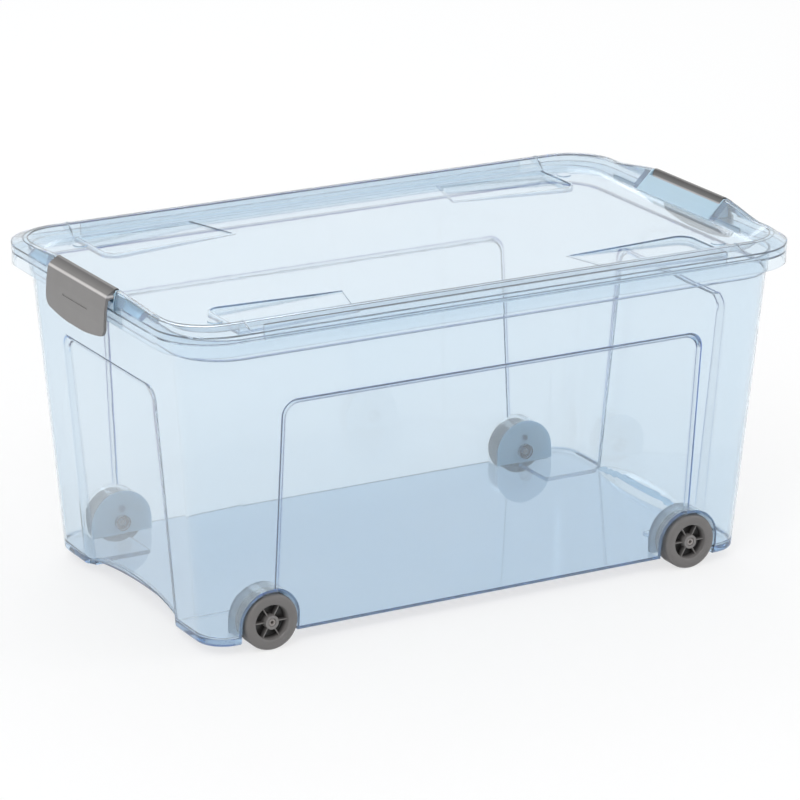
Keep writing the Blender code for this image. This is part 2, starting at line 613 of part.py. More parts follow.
def ramp(side_x, side_y, grow, collection):
    """Wedge that is deepest near the end of the lid; grown, it is the pan under the ramp."""
    top = PANEL_Z - LID_THICKNESS / 2 if grow else PANEL_Z + 2 * LID_THICKNESS
    outer = RAMP_OUTER_Y + grow
    plan = [(RAMP_SHALLOW_X - grow, RAMP_INNER_Y_SHALLOW - grow),
            (RAMP_SHALLOW_X + RAMP_SKEW - grow, outer),
            (RAMP_DEEP_X + grow, outer)]
    corner = RAMP_CORNER + grow
    for step in range(5):
        angle = math.radians(22.5 * step)
        plan.append((RAMP_DEEP_X + grow - corner * (1 - math.cos(angle)),
                     RAMP_INNER_Y_DEEP - grow + corner * (1 - math.sin(angle))))
    points = []
    for x, y in plan:
        share = (x - RAMP_SHALLOW_X) / (RAMP_DEEP_X - RAMP_SHALLOW_X)
        depth = RAMP_LEAST_DEPTH + (RAMP_DEPTH - RAMP_LEAST_DEPTH) * share
        points.append((side_x * x, side_y * y, top))
        points.append((side_x * x, side_y * y, PANEL_Z - depth - grow))
    return hull("ramp", points, collection)


def tick(side_x, side_y, collection):
    """Thin web across the raised rim of a long side."""
    crest_y = LID_HALF_WIDTH - CREST_INSET_SIDE
    panel_y = LID_HALF_WIDTH - PANEL_INSET_SIDE
    profile = [(LID_HALF_WIDTH - LID_THICKNESS, LIP_TOP_Z - LID_THICKNESS / 2),
               (LID_HALF_WIDTH - LID_THICKNESS, LIP_TOP_Z + TICK_PROUD),
               (crest_y + CREST_ROUNDING, CREST_Z + TICK_PROUD / 2),
               (crest_y - CREST_ROUNDING / 2, CREST_Z + TICK_PROUD / 2),
               (panel_y, PANEL_Z + TICK_PROUD),
               (panel_y, PANEL_Z - LID_THICKNESS / 2)]
    across = (TICK_AT_X - TICK_THICKNESS / 2, TICK_AT_X + TICK_THICKNESS / 2)
    return hull("tick", [(side_x * x, side_y * y, z) for y, z in profile for x in across], collection)


def nub(side_x, side_y, collection):
    shape = bmesh.new()
    place = Matrix.Translation((side_x * NUB_AT[0], side_y * NUB_AT[1], PANEL_Z))
    bmesh.ops.create_cone(shape, cap_ends=True, segments=20, radius1=NUB_RADIUS, radius2=NUB_RADIUS - NUB_HEIGHT,
                          depth=2 * NUB_HEIGHT, matrix=place)
    return mesh_object("nub", shape, collection)


def latch_room(side, inner_x, outer_x, bottom, collection):
    """Block cut out of the lid's end rim to make room for a latch."""
    low, high = sorted((side * inner_x, side * outer_x))
    far = POCKET_HALF_WIDTH + CHEEK_THICKNESS / 4
    return box("latch_room", (low, -far, bottom), (high, far, LATCH_TOP_Z + OVERSHOOT), collection)


def shelf(side, collection):
    """Back wall of the latch's room, with the flat edge along its top."""
    low, high = sorted((side * SHELF_X, side * POCKET_X))
    far = POCKET_HALF_WIDTH + CHEEK_THICKNESS / 2
    plate = box("shelf", (low, -far, SHELF_Z - LID_THICKNESS), (high, far, SHELF_Z), collection)
    low, high = sorted((side * (POCKET_X - LID_THICKNESS), side * POCKET_X))
    boolean(plate, box("back_wall", (low, -far, LID_BOTTOM_Z), (high, far, SHELF_Z - LID_THICKNESS / 2), collection),
            "UNION")
    return plate


def cheek(side, side_y, collection):
    """Web that closes the rim beside the latch and carries the hinge bar."""
    crest = CREST_Z + SHOULDER_RISE
    profile = [(SHELF_X, SHELF_Z - LID_THICKNESS), (SHELF_X, SHELF_Z - LID_THICKNESS / 4),
               (LATCH_CREST_X - CREST_ROUNDING, crest - 3 * LID_THICKNESS / 2),
               (LATCH_CREST_X - LATCH_CREST_EDGE, crest - LID_THICKNESS / 4),
               (LATCH_CREST_X + HINGE_BAR_RADIUS, crest - LID_THICKNESS / 2),
               (LID_HALF_LENGTH - GAP, LIP_TOP_Z - LIP_ROUNDING),
               (LID_HALF_LENGTH - GAP, LID_BOTTOM_Z), (POCKET_X - LID_THICKNESS, LID_BOTTOM_Z)]
    near, far = POCKET_HALF_WIDTH, POCKET_HALF_WIDTH + CHEEK_THICKNESS
    return hull("cheek", [(side * x, side_y * y, z) for x, z in profile for y in (near, far)], collection)


def make_lid(parts, cutters, finish):
    lid = make_lid_shell(parts)
    bar_end = POCKET_HALF_WIDTH + CHEEK_THICKNESS / 2
    for side_x, side_y in each_wheel():
        boolean(lid, ramp(side_x, side_y, LID_THICKNESS, cutters), "UNION")
    for side_x, side_y in each_wheel():
        boolean(lid, ramp(side_x, side_y, 0.0, cutters), "DIFFERENCE")
        boolean(lid, tick(side_x, side_y, cutters), "UNION")
        boolean(lid, nub(side_x, side_y, cutters), "UNION")
    for side in (-1, 1):
        # Locating ribs along the sides and across the ends.
        outer = wall_y(RIM_Z) - WALL - RIB_CLEARANCE
        low, high = sorted((side * outer, side * (outer - RIB_THICKNESS)))
        boolean(lid, box("side_rib", (-SIDE_RIB_HALF_LENGTH, low, RIB_BOTTOM_Z),
                         (SIDE_RIB_HALF_LENGTH, high, CREST_Z - 2 * LID_THICKNESS), cutters), "UNION")
        outer = wall_x(RIM_Z) - WALL - RIB_CLEARANCE
        low, high = sorted((side * outer, side * (outer - RIB_THICKNESS)))
        boolean(lid, box("end_rib", (low, -END_RIB_HALF_WIDTH, RIB_BOTTOM_Z),
                         (high, END_RIB_HALF_WIDTH, PANEL_Z + LID_THICKNESS / 2), cutters), "UNION")
        # Room for the latch: its shelf and back wall, its two cheeks and the hinge bar between them.
        boolean(lid, latch_room(side, POCKET_X, LATCH_FACE_X, RIB_BOTTOM_Z, cutters), "DIFFERENCE")
        boolean(lid, latch_room(side, SHELF_X - CREST_INSET_END, POCKET_X + OVERSHOOT, SHELF_Z, cutters),
                "DIFFERENCE")
        boolean(lid, shelf(side, cutters), "UNION")
        for side_y in (-1, 1):
            boolean(lid, cheek(side, side_y, cutters), "UNION")
        boolean(lid, cylinder_along_y("hinge_bar", HINGE_BAR_RADIUS, side * HINGE_X, HINGE_Z,
                                      -bar_end, bar_end, cutters, 20), "UNION")
    give(lid, finish)
    return lid


# ---------------------------------------------------------------- latches
def latch_profile():
    """Section of the latch as (distance from the middle of the box, height)."""
    inner_x = LATCH_FACE_X - LATCH_THICKNESS
    tip_x = RIM_HALF_LENGTH - CATCH_BITE
    edge_z = SKIRT_BOTTOM_Z - GAP
    tip_z = edge_z - (CATCH_BITE + GAP) * math.tan(CATCH_SLOPE)
    web_z = HINGE_Z - HINGE_BAR_RADIUS - HINGE_WEB
    flare_z = LATCH_SHOULDER_Z - LATCH_FLARE_FROM
    return [
        (LATCH_FOOT_X, LATCH_FOOT_Z),
        (LATCH_CREST_X - LATCH_CREST_EDGE, LATCH_TOP_Z - LATCH_EDGE),
        (LATCH_CREST_X, LATCH_TOP_Z),
        (LATCH_CREST_X + LATCH_CREST_WIDTH, LATCH_TOP_Z - LATCH_EDGE / 1.5),
        (LATCH_FACE_X - LATCH_LEAN * 2, LATCH_SHOULDER_Z + 2 * LATCH_EDGE),
        (LATCH_FACE_X - LATCH_LEAN * 1.4, LATCH_SHOULDER_Z - LATCH_EDGE / 1.5),
        (LATCH_FACE_X - LATCH_LEAN, LATCH_SHOULDER_Z - LATCH_SHOULDER_HEIGHT),
        (LATCH_FACE_X - LATCH_LEAN * 0.3, flare_z),
        (LATCH_FACE_X, LATCH_SHOULDER_Z - LATCH_FLARE_TO),
        (LATCH_FACE_X, LATCH_BOTTOM_Z + LATCH_EDGE / 0.6),
        (LATCH_FACE_X - LATCH_EDGE, LATCH_BOTTOM_Z),
        (inner_x + LATCH_EDGE, LATCH_BOTTOM_Z),
        (inner_x, LATCH_BOTTOM_Z + LATCH_EDGE / 0.6),
        (inner_x, CATCH_ROOT_Z),
        (tip_x, tip_z - CATCH_TIP),
        (tip_x, tip_z),
        (RIM_HALF_LENGTH + GAP, edge_z),
        (inner_x, edge_z + 2 * LATCH_EDGE),
        (inner_x - LATCH_LEAN * 0.3, flare_z),
        (inner_x - LATCH_LEAN, LATCH_FOOT_Z),
        (inner_x - LATCH_LEAN * 2, web_z),
        (HINGE_X, web_z),
        (LATCH_FOOT_X + HINGE_BAR_RADIUS, LATCH_FOOT_Z - LATCH_EDGE / 3),
    ]


def plate_profile():
    """The same section without the catch, for the two ends of the latch."""
    inner_x = LATCH_FACE_X - LATCH_THICKNESS
    return [point for point in latch_profile() if point[0] >= inner_x or point[1] > SKIRT_BOTTOM_Z]


def prism_along_y(name, profile, half_width, side, collection):
    loops = [[(side * x, y, z) for x, z in profile] for y in (-half_width, half_width)]
    return loft(name, loops, collection)


def latch_outline(collection):
    """Front view of the latch, with a bowed lower edge and rounded corners, used to trim the plate."""
    top = LATCH_TOP_Z + OVERSHOOT
    low = LATCH_BOTTOM_Z - GAP / 3
    flat_half = LATCH_HALF_WIDTH - LATCH_CORNER_RADIUS
    points = [(LATCH_HALF_WIDTH, top), (-LATCH_HALF_WIDTH, top)]
    for step in range(5):
        angle = math.radians(180.0 + 18.0 * step)
        points.append((-flat_half + LATCH_CORNER_RADIUS * math.cos(angle),
                       low + LATCH_BOW + LATCH_CORNER_RADIUS * (1 + math.sin(angle))))
    for step in range(9):
        share = step / 4 - 1
        points.append((flat_half * share, low + LATCH_BOW * share ** 2))
    for step in range(1, 6):
        angle = math.radians(270.0 + 18.0 * step)
        points.append((flat_half + LATCH_CORNER_RADIUS * math.cos(angle),
                       low + LATCH_BOW + LATCH_CORNER_RADIUS * (1 + math.sin(angle))))
    far = LATCH_FACE_X + OVERSHOOT
    return loft("outline", [[(x, y, z) for y, z in points] for x in (-far, far)], collection)


def make_latch(name, side, parts, cutters, finish):
    latch = prism_along_y(name, plate_profile(), LATCH_HALF_WIDTH, side, parts)
    boolean(latch, prism_along_y("catch", latch_profile(), CATCH_HALF_WIDTH, side, cutters), "UNION")
    boolean(latch, latch_outline(cutters), "INTERSECT")
    far = LATCH_HALF_WIDTH + OVERSHOOT
    boolean(latch, cylinder_along_y("bar_room", HINGE_BAR_RADIUS + GAP, side * HINGE_X, HINGE_Z, -far, far,
                                    cutters, 20), "DIFFERENCE")
    low, high = sorted((side * HINGE_X - HINGE_SLOT / 2, side * HINGE_X + HINGE_SLOT / 2))
    boolean(latch, box("clip_mouth", (low, -far, LATCH_FOOT_Z - OVERSHOOT), (high, far, HINGE_Z), cutters),
            "DIFFERENCE")
    low, high = sorted((side * (LATCH_FACE_X - GROOVE_DEPTH), side * (LATCH_FACE_X + OVERSHOOT)))
    boolean(latch, box("groove", (low, -GROOVE_HALF_LENGTH, GROOVE_Z - GROOVE_HEIGHT / 2),
                       (high, GROOVE_HALF_LENGTH, GROOVE_Z + GROOVE_HEIGHT / 2), cutters), "DIFFERENCE")
    # The origin goes to the hinge axis.
    pivot = Vector((side * HINGE_X, 0.0, HINGE_Z))
    latch.data.transform(Matrix.Translation(-pivot))
    latch.location = pivot
    give(latch, finish)
    return latch


# ---------------------------------------------------------------- wheels and axle pins
def turned(name, profile, collection, steps=ROUND_STEPS):
    """Profile of (radius, height) points turned about Z, then laid over so that its top faces -Y."""
    mesh = bpy.data.meshes.new(name)
    points = [(radius, 0.0, height) for radius, height in profile]
    pairs = [(index, (index + 1) % len(points)) for index in range(len(points))]
    edges = [pair for pair in pairs if max(profile[pair[0]][0], profile[pair[1]][0]) > 0.0]
    mesh.from_pydata(points, edges, [])
    made = bpy.data.objects.new(name, mesh)
    collection.objects.link(made)
    screw = made.modifiers.new("Turn", "SCREW")
    screw.axis = "Z"
    screw.steps = steps
    screw.render_steps = steps
    screw.use_merge_vertices = True
    screw.merge_threshold = WELD
    screw.use_normal_calculate = True
    graph = bpy.context.evaluated_depsgraph_get()
    result = bpy.data.meshes.new_from_object(made.evaluated_get(graph))
    made.modifiers.clear()
    made.data = result
    bpy.data.meshes.remove(mesh)
    shape = bmesh.new()
    shape.from_mesh(result)
    bmesh.ops.remove_doubles(shape, verts=shape.verts, dist=WELD)
    bmesh.ops.recalc_face_normals(shape, faces=shape.faces)
    bmesh.ops.rotate(shape, verts=shape.verts, cent=(0, 0, 0), matrix=Matrix.Rotation(math.pi / 2, 3, "X"))
    shape.to_mesh(result)
    shape.free()
    return made


def ring_profile():
    """Rounded face of the wheel from the dish out to the tread."""
    points = []
    for end_radius, drop, fractions in ((DISH_RADIUS, RING_DROP / 2, (1.0, 0.75, 0.4)),
                                        (WHEEL_RADIUS, RING_DROP, (0.0, 0.4, 0.7, 0.9, 1.0))):
        for fraction in fractions:
            fall = drop * (1 - math.sqrt(1 - fraction ** 2))
            points.append((RING_CREST_RADIUS + fraction * (end_radius - RING_CREST_RADIUS), -fall))
    return points


def wheel_profile():
    """Half section of a wheel; height 0 is the outer face and the back is below it."""
    bore = PIN_RADIUS + GAP
    counterbore = PIN_HEAD_RADIUS + GAP
    head_seat = -(HUB_RECESS + PIN_FACE_RECESS + PIN_HEAD_LENGTH + GAP)
    web_front = -DISH_DEPTH
    web_back = web_front - WEB_THICKNESS
    edge = WHEEL_EDGE
    return [
        (bore, -WHEEL_WIDTH),
        (bore, head_seat),
        (counterbore, head_seat),
        (counterbore, -HUB_RECESS),
        (HUB_RADIUS - HUB_EDGE, -HUB_RECESS),
        (HUB_RADIUS, -HUB_RECESS - HUB_EDGE),
        (HUB_RADIUS, web_front),
        (DISH_RADIUS - DISH_DRAFT, web_front),
        *ring_profile(),
        (WHEEL_RADIUS, -WHEEL_WIDTH + edge),
        (WHEEL_RADIUS - 0.3 * edge, -WHEEL_WIDTH + 0.3 * edge),
        (WHEEL_RADIUS - edge, -WHEEL_WIDTH),
        (BACK_HOLLOW_RADIUS, -WHEEL_WIDTH),
        (BACK_HOLLOW_RADIUS - DISH_DRAFT, web_back),
        (HUB_BACK_RADIUS, web_back),
        (HUB_BACK_RADIUS, -WHEEL_WIDTH),
    ]


def pin_profile():
    """Half section of an axle pin; height 0 is its outer end."""
    length = PIN_FACE_Y - PIN_END_Y
    return [
        (PIN_BORE_RADIUS, 0.0),
        (PIN_HEAD_RADIUS - PIN_HEAD_EDGE, 0.0),
        (PIN_HEAD_RADIUS, -PIN_HEAD_EDGE),
        (PIN_HEAD_RADIUS, -PIN_HEAD_LENGTH),
        (PIN_RADIUS, -PIN_HEAD_LENGTH),
        (PIN_RADIUS, -length + PIN_POINT_EDGE),
        (PIN_RADIUS - PIN_POINT_EDGE, -length),
        (0.0, -length),
        (0.0, -PIN_BORE_DEPTH),
        (PIN_BORE_RADIUS, -PIN_BORE_DEPTH),
    ]


def make_wheel(name, side_x, side_y, parts, cutters, finish):
    wheel = turned(name, wheel_profile(), parts)
    inner_end = HUB_RADIUS - SPOKE_ROOT
    outer_end = DISH_RADIUS + SPOKE_TIP
    for index in range(SPOKE_COUNT):
        spoke = box("spoke", (inner_end, SPOKE_RECESS, -SPOKE_THICKNESS / 2),
                    (outer_end, DISH_DEPTH + WEB_THICKNESS / 2, SPOKE_THICKNESS / 2), cutters)
        spoke.data.transform(Matrix.Rotation(2 * math.pi * index / SPOKE_COUNT, 4, "Y"))
        boolean(wheel, spoke, "UNION")
    place_turned(wheel, side_x, side_y, WHEEL_FACE_Y)
    give(wheel, finish)
    smooth(wheel)
    return wheel


def place_turned(item, side_x, side_y, face_y):
    """Put the outer face of a turned piece at its wall, facing away from the box."""
    if side_y > 0:
        item.rotation_euler = (0.0, 0.0, math.pi)
    item.location = (side_x * WHEEL_AT_X, side_y * face_y, AXLE_Z)


def make_axle(name, side_x, side_y, parts, finish):
    axle = turned(name, pin_profile(), parts, steps=24)
    place_turned(axle, side_x, side_y, PIN_FACE_Y)
    give(axle, finish)
    smooth(axle)
    return axle


# ---------------------------------------------------------------- the whole box
def build():
    clear_scene()
    parts = new_collection("under_bed_box")
    cutters = new_collection("cutters")
    clear_blue = material("clear_blue_polypropylene", (0.42, 0.60, 0.74), 0.12, alpha=0.35)
    latch_grey = material("warm_grey_polypropylene", (0.24, 0.22, 0.21), 0.42)
    wheel_grey = material("dark_grey_polypropylene", (0.12, 0.11, 0.105), 0.45)
    pin_grey = material("light_grey_acetal", (0.40, 0.39, 0.37), 0.35)

    make_tub(parts, cutters, clear_blue)
    make_lid(parts, cutters, clear_blue)
    for name, side in (("latch_left", -1), ("latch_right", 1)):
        make_latch(name, side, parts, cutters, latch_grey)
    for side_x, side_y in each_wheel():
        place = f"{'front' if side_y < 0 else 'back'}_{'left' if side_x < 0 else 'right'}"
        make_wheel(f"wheel_{place}", side_x, side_y, parts, cutters, wheel_grey)
        make_axle(f"axle_{place}", side_x, side_y, parts, pin_grey)


build()
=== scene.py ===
"""Clear wheeled storage box: its moulded pieces, their plastics, the studio and the camera."""
import math

import bmesh
import bpy
from mathutils import Matrix, Vector


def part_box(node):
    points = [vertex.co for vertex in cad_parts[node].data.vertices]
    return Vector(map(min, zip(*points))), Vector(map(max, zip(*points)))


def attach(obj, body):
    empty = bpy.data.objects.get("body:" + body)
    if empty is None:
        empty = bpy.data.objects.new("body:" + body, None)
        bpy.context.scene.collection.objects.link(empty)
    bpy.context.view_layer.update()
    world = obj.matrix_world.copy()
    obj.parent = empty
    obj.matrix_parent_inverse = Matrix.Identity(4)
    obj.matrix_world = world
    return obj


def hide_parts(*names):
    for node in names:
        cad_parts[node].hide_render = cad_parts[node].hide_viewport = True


bl_info = {
    "name": "Clear Wheeled Box",
    "version": (1, 0, 0),
    "blender": (4, 5, 0),
    "location": "3D View > Sidebar > Clear Box",
    "description": "Moulded pieces, plastics and studio for a clear storage box with latches and wheels",
    "category": "Object",
}

MM = 0.001
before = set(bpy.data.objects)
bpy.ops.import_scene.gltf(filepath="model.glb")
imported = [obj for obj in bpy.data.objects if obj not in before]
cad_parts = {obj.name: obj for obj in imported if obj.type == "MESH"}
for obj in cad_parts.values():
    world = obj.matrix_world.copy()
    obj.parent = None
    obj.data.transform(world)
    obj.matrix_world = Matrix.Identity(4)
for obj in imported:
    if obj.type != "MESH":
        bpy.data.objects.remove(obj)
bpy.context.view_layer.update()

# ---------------- sizes that the frame fixes
GAP = 0.3 * MM
OVERSHOOT = MM                      # how far a cutter passes the surface that it opens
SECTION_ROUNDING = 0.6 * MM         # curve at the corners of a drawn section
WALL = 2.2 * MM
FOOT_Z = 8 * MM
FLOOR_UNDERSIDE_Z = 12 * MM
FLOOR_Z = 14.2 * MM
RIM_Z = 286 * MM
STEP_Z = 268.5 * MM
STEP_DEPTH = 1.2 * MM
STEP_CURVE = ((-1.6 * MM, 1.0), (-1 * MM, 0.85), (-0.3 * MM, 0.15), (0.4 * MM, 0.0))      # rise, share of depth
FOOT_HALF = Vector((267 * MM, 154 * MM))
TOP_HALF = Vector((290.5 * MM, 179.5 * MM))
FOOT_CORNER = 27 * MM
TOP_CORNER = 47 * MM
CAVITY_RISE = 6 * MM
BASE_ROUNDING = 3.4 * MM
RIM_HALF = Vector((304.6 * MM, 185.6 * MM))
RIM_CORNER = 49.6 * MM
RIM_THICKNESS = 2 * MM
SKIRT_BOTTOM_Z = 274 * MM

PANEL_TOP_Z = 223 * MM
SIDE_PANEL_HALF_LENGTH = 204 * MM
SIDE_PANEL_DEPTH = 3 * MM
SIDE_PANEL_DRAFT = 2.5 * MM
SIDE_PANEL_CORNER = 15 * MM
PANEL_CUTTER_REACH = 12 * MM
END_PANEL_HALF_WIDTH = 90 * MM
END_PANEL_TOP_DEPTH = 2 * MM
END_PANEL_FOOT_DEPTH = 5 * MM
END_PANEL_DRAFT = 11 * MM
END_PANEL_CORNER = 12 * MM
FOOT_INNER_Y = 84 * MM
SCOOP_HALF_WIDTH = 88 * MM
SCOOP_HEIGHT = 14.5 * MM
SCOOP_REACH = 16 * MM
SCOOP_SINK = 6 * MM

WHEEL_RADIUS = 25 * MM
WHEEL_WIDTH = 19 * MM
WHEEL_AT_X = 208.5 * MM
AXLE_Z = WHEEL_RADIUS
WHEEL_FACE_Y = -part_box("wheel_front_left")[0].y
DISH_RADIUS = 15.5 * MM
DISH_DEPTH = 9.5 * MM
DISH_DRAFT = 1.2 * MM
WEB_THICKNESS = 2.5 * MM
HUB_RADIUS = 6.2 * MM
HUB_BACK_RADIUS = 7.5 * MM
HUB_RECESS = 0.5 * MM
BACK_HOLLOW_RADIUS = 19 * MM
BACK_ROUNDING = 0.7 * MM
RING_CREST_RADIUS = 20 * MM
RING_DROP = 2.6 * MM
SPOKE_RECESS = 3.5 * MM
TREAD_RIB_WIDTH = 0.7 * MM
WELL_RADIUS = WHEEL_RADIUS + 2.2 * MM
WELL_END_Y = WHEEL_FACE_Y - WHEEL_WIDTH - 4 * MM
BOSS_RADIUS = 7 * MM
BOSS_FACE_Y = WHEEL_FACE_Y - WHEEL_WIDTH - 0.6 * MM
BOSS_BACK_Y = WELL_END_Y - WALL - 4 * MM
DOT_RADIUS = 3 * MM
DOT_RISE = 13 * MM
DOT_HEIGHT = 0.6 * MM
PIN_RADIUS = 2.5 * MM
PIN_HEAD_RADIUS = 3.2 * MM
PIN_HEAD_LENGTH = 1.7 * MM
PIN_HEAD_SINK = 0.4 * MM
PIN_ROUNDING = 0.35 * MM
PIN_BORE_RADIUS = 1.5 * MM
PIN_BORE_DEPTH = 7 * MM
PIN_FACE_Y = WHEEL_FACE_Y - HUB_RECESS - PIN_HEAD_SINK
PIN_END_Y = BOSS_FACE_Y - 6.5 * MM

LID_HALF = Vector((305 * MM, 186 * MM))
LID_CORNER = 50 * MM
LID_THICKNESS = 2 * MM
UNDER_ROUNDING = 1 * MM
OVER_ROUNDING = 1.6 * MM
LID_BOTTOM_Z = RIM_Z + GAP
LIP_TOP_Z = 292.4 * MM
CREST_Z = 298 * MM
CREST_INSET = Vector((10 * MM, 18 * MM))
CREST_CORNER = 40 * MM
PANEL_Z = 288 * MM
PANEL_INSET = Vector((23 * MM, 30 * MM))
PANEL_CORNER = 34 * MM
SHOULDER_RISE = 6 * MM
SHOULDER_OUT = 4.5 * MM
SHOULDER_FROM_Y = 118 * MM
SHOULDER_FULL_Y = 60 * MM
SHOULDER_STEPS = 30
SHELF_Z = 294.4 * MM
SHELF_X = 289.5 * MM
APRON_TOP_Z = 299.4 * MM
RIB_BOTTOM_Z = 282.5 * MM
RIB_THICKNESS = 1.5 * MM
SIDE_RIB_HALF_LENGTH = 225 * MM
END_RIB_HALF_WIDTH = 105 * MM
RAMP_DEEP_X = 237 * MM
RAMP_SHALLOW_X = 112 * MM
RAMP_SHALLOW_SKEW = 16 * MM
RAMP_DEPTH = 4.5 * MM
RAMP_LEAST_DEPTH = 0.8 * MM
RAMP_INNER_Y_DEEP = 93 * MM
RAMP_INNER_Y_SHALLOW = 101 * MM
RAMP_OUTER_Y = 155 * MM
RAMP_CORNER = 12 * MM
TICK_AT_X = 240 * MM
TICK_THICKNESS = 1.4 * MM
TICK_PROUD = 0.6 * MM
NUB_AT = Vector((246.5 * MM, 130 * MM))
NUB_RADIUS = 7 * MM
NUB_TAPER = 0.8 * MM
NUB_HEIGHT = 0.8 * MM

LATCH_HALF_WIDTH = 57 * MM
ROOM_HALF_WIDTH = LATCH_HALF_WIDTH + 0.8 * MM
LATCH_FACE_X = 313.3 * MM
LATCH_LEAN = 2.3 * MM
LATCH_THICKNESS = 2.5 * MM
LATCH_TOP_Z = 305 * MM
LATCH_SHOULDER_Z = 299.2 * MM
LATCH_BOTTOM_Z = 258.5 * MM
LATCH_BOW = 4.5 * MM
LATCH_CORNER = 9 * MM
LATCH_ROUNDING = 0.7 * MM
LATCH_CREST_X = 299.7 * MM
LATCH_FOOT_X = 295.3 * MM
LATCH_FOOT_Z = 294.8 * MM
HINGE_X = 301.5 * MM
HINGE_Z = 299.5 * MM
HINGE_BAR_RADIUS = 2 * MM
CHEEK_THICKNESS = 2 * MM
CLIP_MOUTH_HALF = 1.7 * MM
CATCH_BITE = 1.3 * MM
CATCH_HALF_WIDTH = 42 * MM
CATCH_SLOPE = math.radians(46.0)
CATCH_ROOT_Z = 265.5 * MM
GROOVE_HALF_LENGTH = 24 * MM
GROOVE_Z = 280.5 * MM
GROOVE_HALF_HEIGHT = 0.8 * MM
GROOVE_DEPTH = 0.9 * MM
POCKET_X = LATCH_FOOT_X - GAP

WALL_SLOPE = (TOP_HALF - FOOT_HALF) / (RIM_Z - FOOT_Z)
WELD = 0.002 * MM
LID_SOFTNESS = 0.7                  # of the tub's edges
LATCH_SOFTNESS = 0.6
BEVEL_FROM = math.radians(32.0)
SHARP_FROM = math.radians(50.0)
TURNED_SHARP_FROM = math.radians(40.0)
WHEEL_STEPS = 96

# ---------------- skins of the plastics
CLEAR, SATIN, EDGE, MILKY = range(4)
SKINS = (("clear", "shell", 0.93), ("satin", "shell", 0.88),          # name, colour, share of light let through
         ("tinted_edge", "edge", 0.72), ("milky", "milky", 0.3))
FLAT, SLOPE = 0.975, 0.8            # least share of a normal along one axis, on the tub
LID_FLAT, LID_SLOPE = 0.97, 0.72
UNDERSIDE_LEVEL = 0.95
SKIN_MARGIN = 0.1 * MM
PLASTIC_IOR = 1.49
DEPTH_DENSITY = 14.0                # absorption per metre of clear plastic
# height of the painted highlight along a latch's ridge
LATCH_HIGHLIGHT_Z = LATCH_SHOULDER_Z - 0.6 * MM

# ---------------- studio
SOFTBOXES = (("key_softbox", (-1.6, -1.8, 2.4), 1.3, 26.0),       # name, place, side in metres, watts
             ("fill_softbox", (2.2, -1.4, 1.6), 1.2, 9.0),
             ("back_softbox", (0.6, 2.2, 2.2), 1.6, 14.0))
LIGHT_AIM = Vector((0.0, 0.0, 0.15))
WHITE = (1.0, 1.0, 1.0, 1.0)
FLOOR_HALF = 12.0
WHITE_SHARE = 0.7                   # how much the floor is brightened for the camera
SKY_LIGHT = 0.8
WALL_BOUNCES = 32                   # a ray crosses up to a dozen clear walls, or runs along inside one of them
SCATTER_BOUNCES = 12

# The photograph's camera, from a fit of the box's edges
LENS_MM = 195.0
SENSOR_MM = 36.0
CAMERA_AT = Vector((-1.7785, -3.1788, 1.3283))
CAMERA_AZIMUTH = math.radians(-29.24)
CAMERA_PITCH = math.radians(18.0)
CAMERA_ROLL = math.radians(0.22)


def hex_colour(text):
    """sRGB hex to linear red, green and blue."""
    channels = [int(text[index:index + 2], 16) / 255 for index in (1, 3, 5)]
    return tuple(c / 12.92 if c <= 0.04045 else ((c + 0.055) / 1.055) ** 2.4 for c in channels)


# ---------------- what a user would change
def colour_property(name, description, default):
    return bpy.props.FloatVectorProperty(name=name, description=description, default=hex_colour(default),
                                         subtype="COLOR", size=3, min=0, max=1)


class ClearBoxSizes(bpy.types.PropertyGroup):
    corner_steps: bpy.props.IntProperty(
        name="Corner Steps", description="Facets in each rounded corner of the box", default=18, min=6, max=48)
    edge_softness: bpy.props.FloatProperty(
        name="Edge Softness", description="Rounding of the moulded edges",
        default=0.8 * MM, min=0.1 * MM, max=2 * MM, unit="LENGTH")
    spoke_count: bpy.props.IntProperty(
        name="Spokes", description="Ribs in the open face of each wheel", default=6, min=3, max=12)
    spoke_thickness: bpy.props.FloatProperty(
        name="Spoke Thickness", description="Thickness of a wheel's ribs",
        default=0.9 * MM, min=0.5 * MM, max=4 * MM, unit="LENGTH")
    tread_count: bpy.props.IntProperty(
        name="Tread Ribs", description="Fine ribs round each wheel", default=90, min=12, max=200)
    tread_depth: bpy.props.FloatProperty(
        name="Tread Depth", description="Height of the fine ribs",
        default=0.35 * MM, min=0.1 * MM, max=1 * MM, unit="LENGTH")


class ClearBoxColours(bpy.types.PropertyGroup):
    shell: colour_property("Clear Plastic", "Tint that the clear plastic lets through", "#F5FBFF")
    depth: colour_property("Depth Tint", "Colour that a long way through the clear plastic takes on", "#8FCBF0")
    edge: colour_property("Edges", "Tint of the rounded edges of the clear plastic", "#D6EDFC")
    milky: colour_property("Milky Plastic", "Tint of the textured well ends and latch rooms", "#D6EEFB")
    latch: colour_property("Latches", "Colour of the two latches", "#858382")
    wheel: colour_property("Wheels", "Colour of the wheels", "#62605F")
    pin: colour_property("Axle Pins", "Colour of the axle pins", "#8E8986")
    floor: colour_property("Studio Floor", "Colour of the floor", "#F7F8F9")


# ---------------- mesh tools
def mesh_object(name, shape):
    bmesh.ops.recalc_face_normals(shape, faces=shape.faces)
    mesh = bpy.data.meshes.new(name)
    shape.to_mesh(mesh)
    shape.free()
    made = bpy.data.objects.new(name, mesh)
    bpy.context.scene.collection.objects.link(made)
    return made


def loft(name, loops):
    """Closed solid through a stack of loops that have equally many points."""
    shape = bmesh.new()
    rings = [[shape.verts.new(point) for point in loop] for loop in loops]
    for lower, upper in zip(rings, rings[1:]):
        for index in range(len(lower)):
            following = (index + 1) % len(lower)
            shape.faces.new((lower[index], lower[following], upper[following], upper[index]))
    shape.faces.new(rings[0])
    shape.faces.new(rings[-1])
    return mesh_object(name, shape)


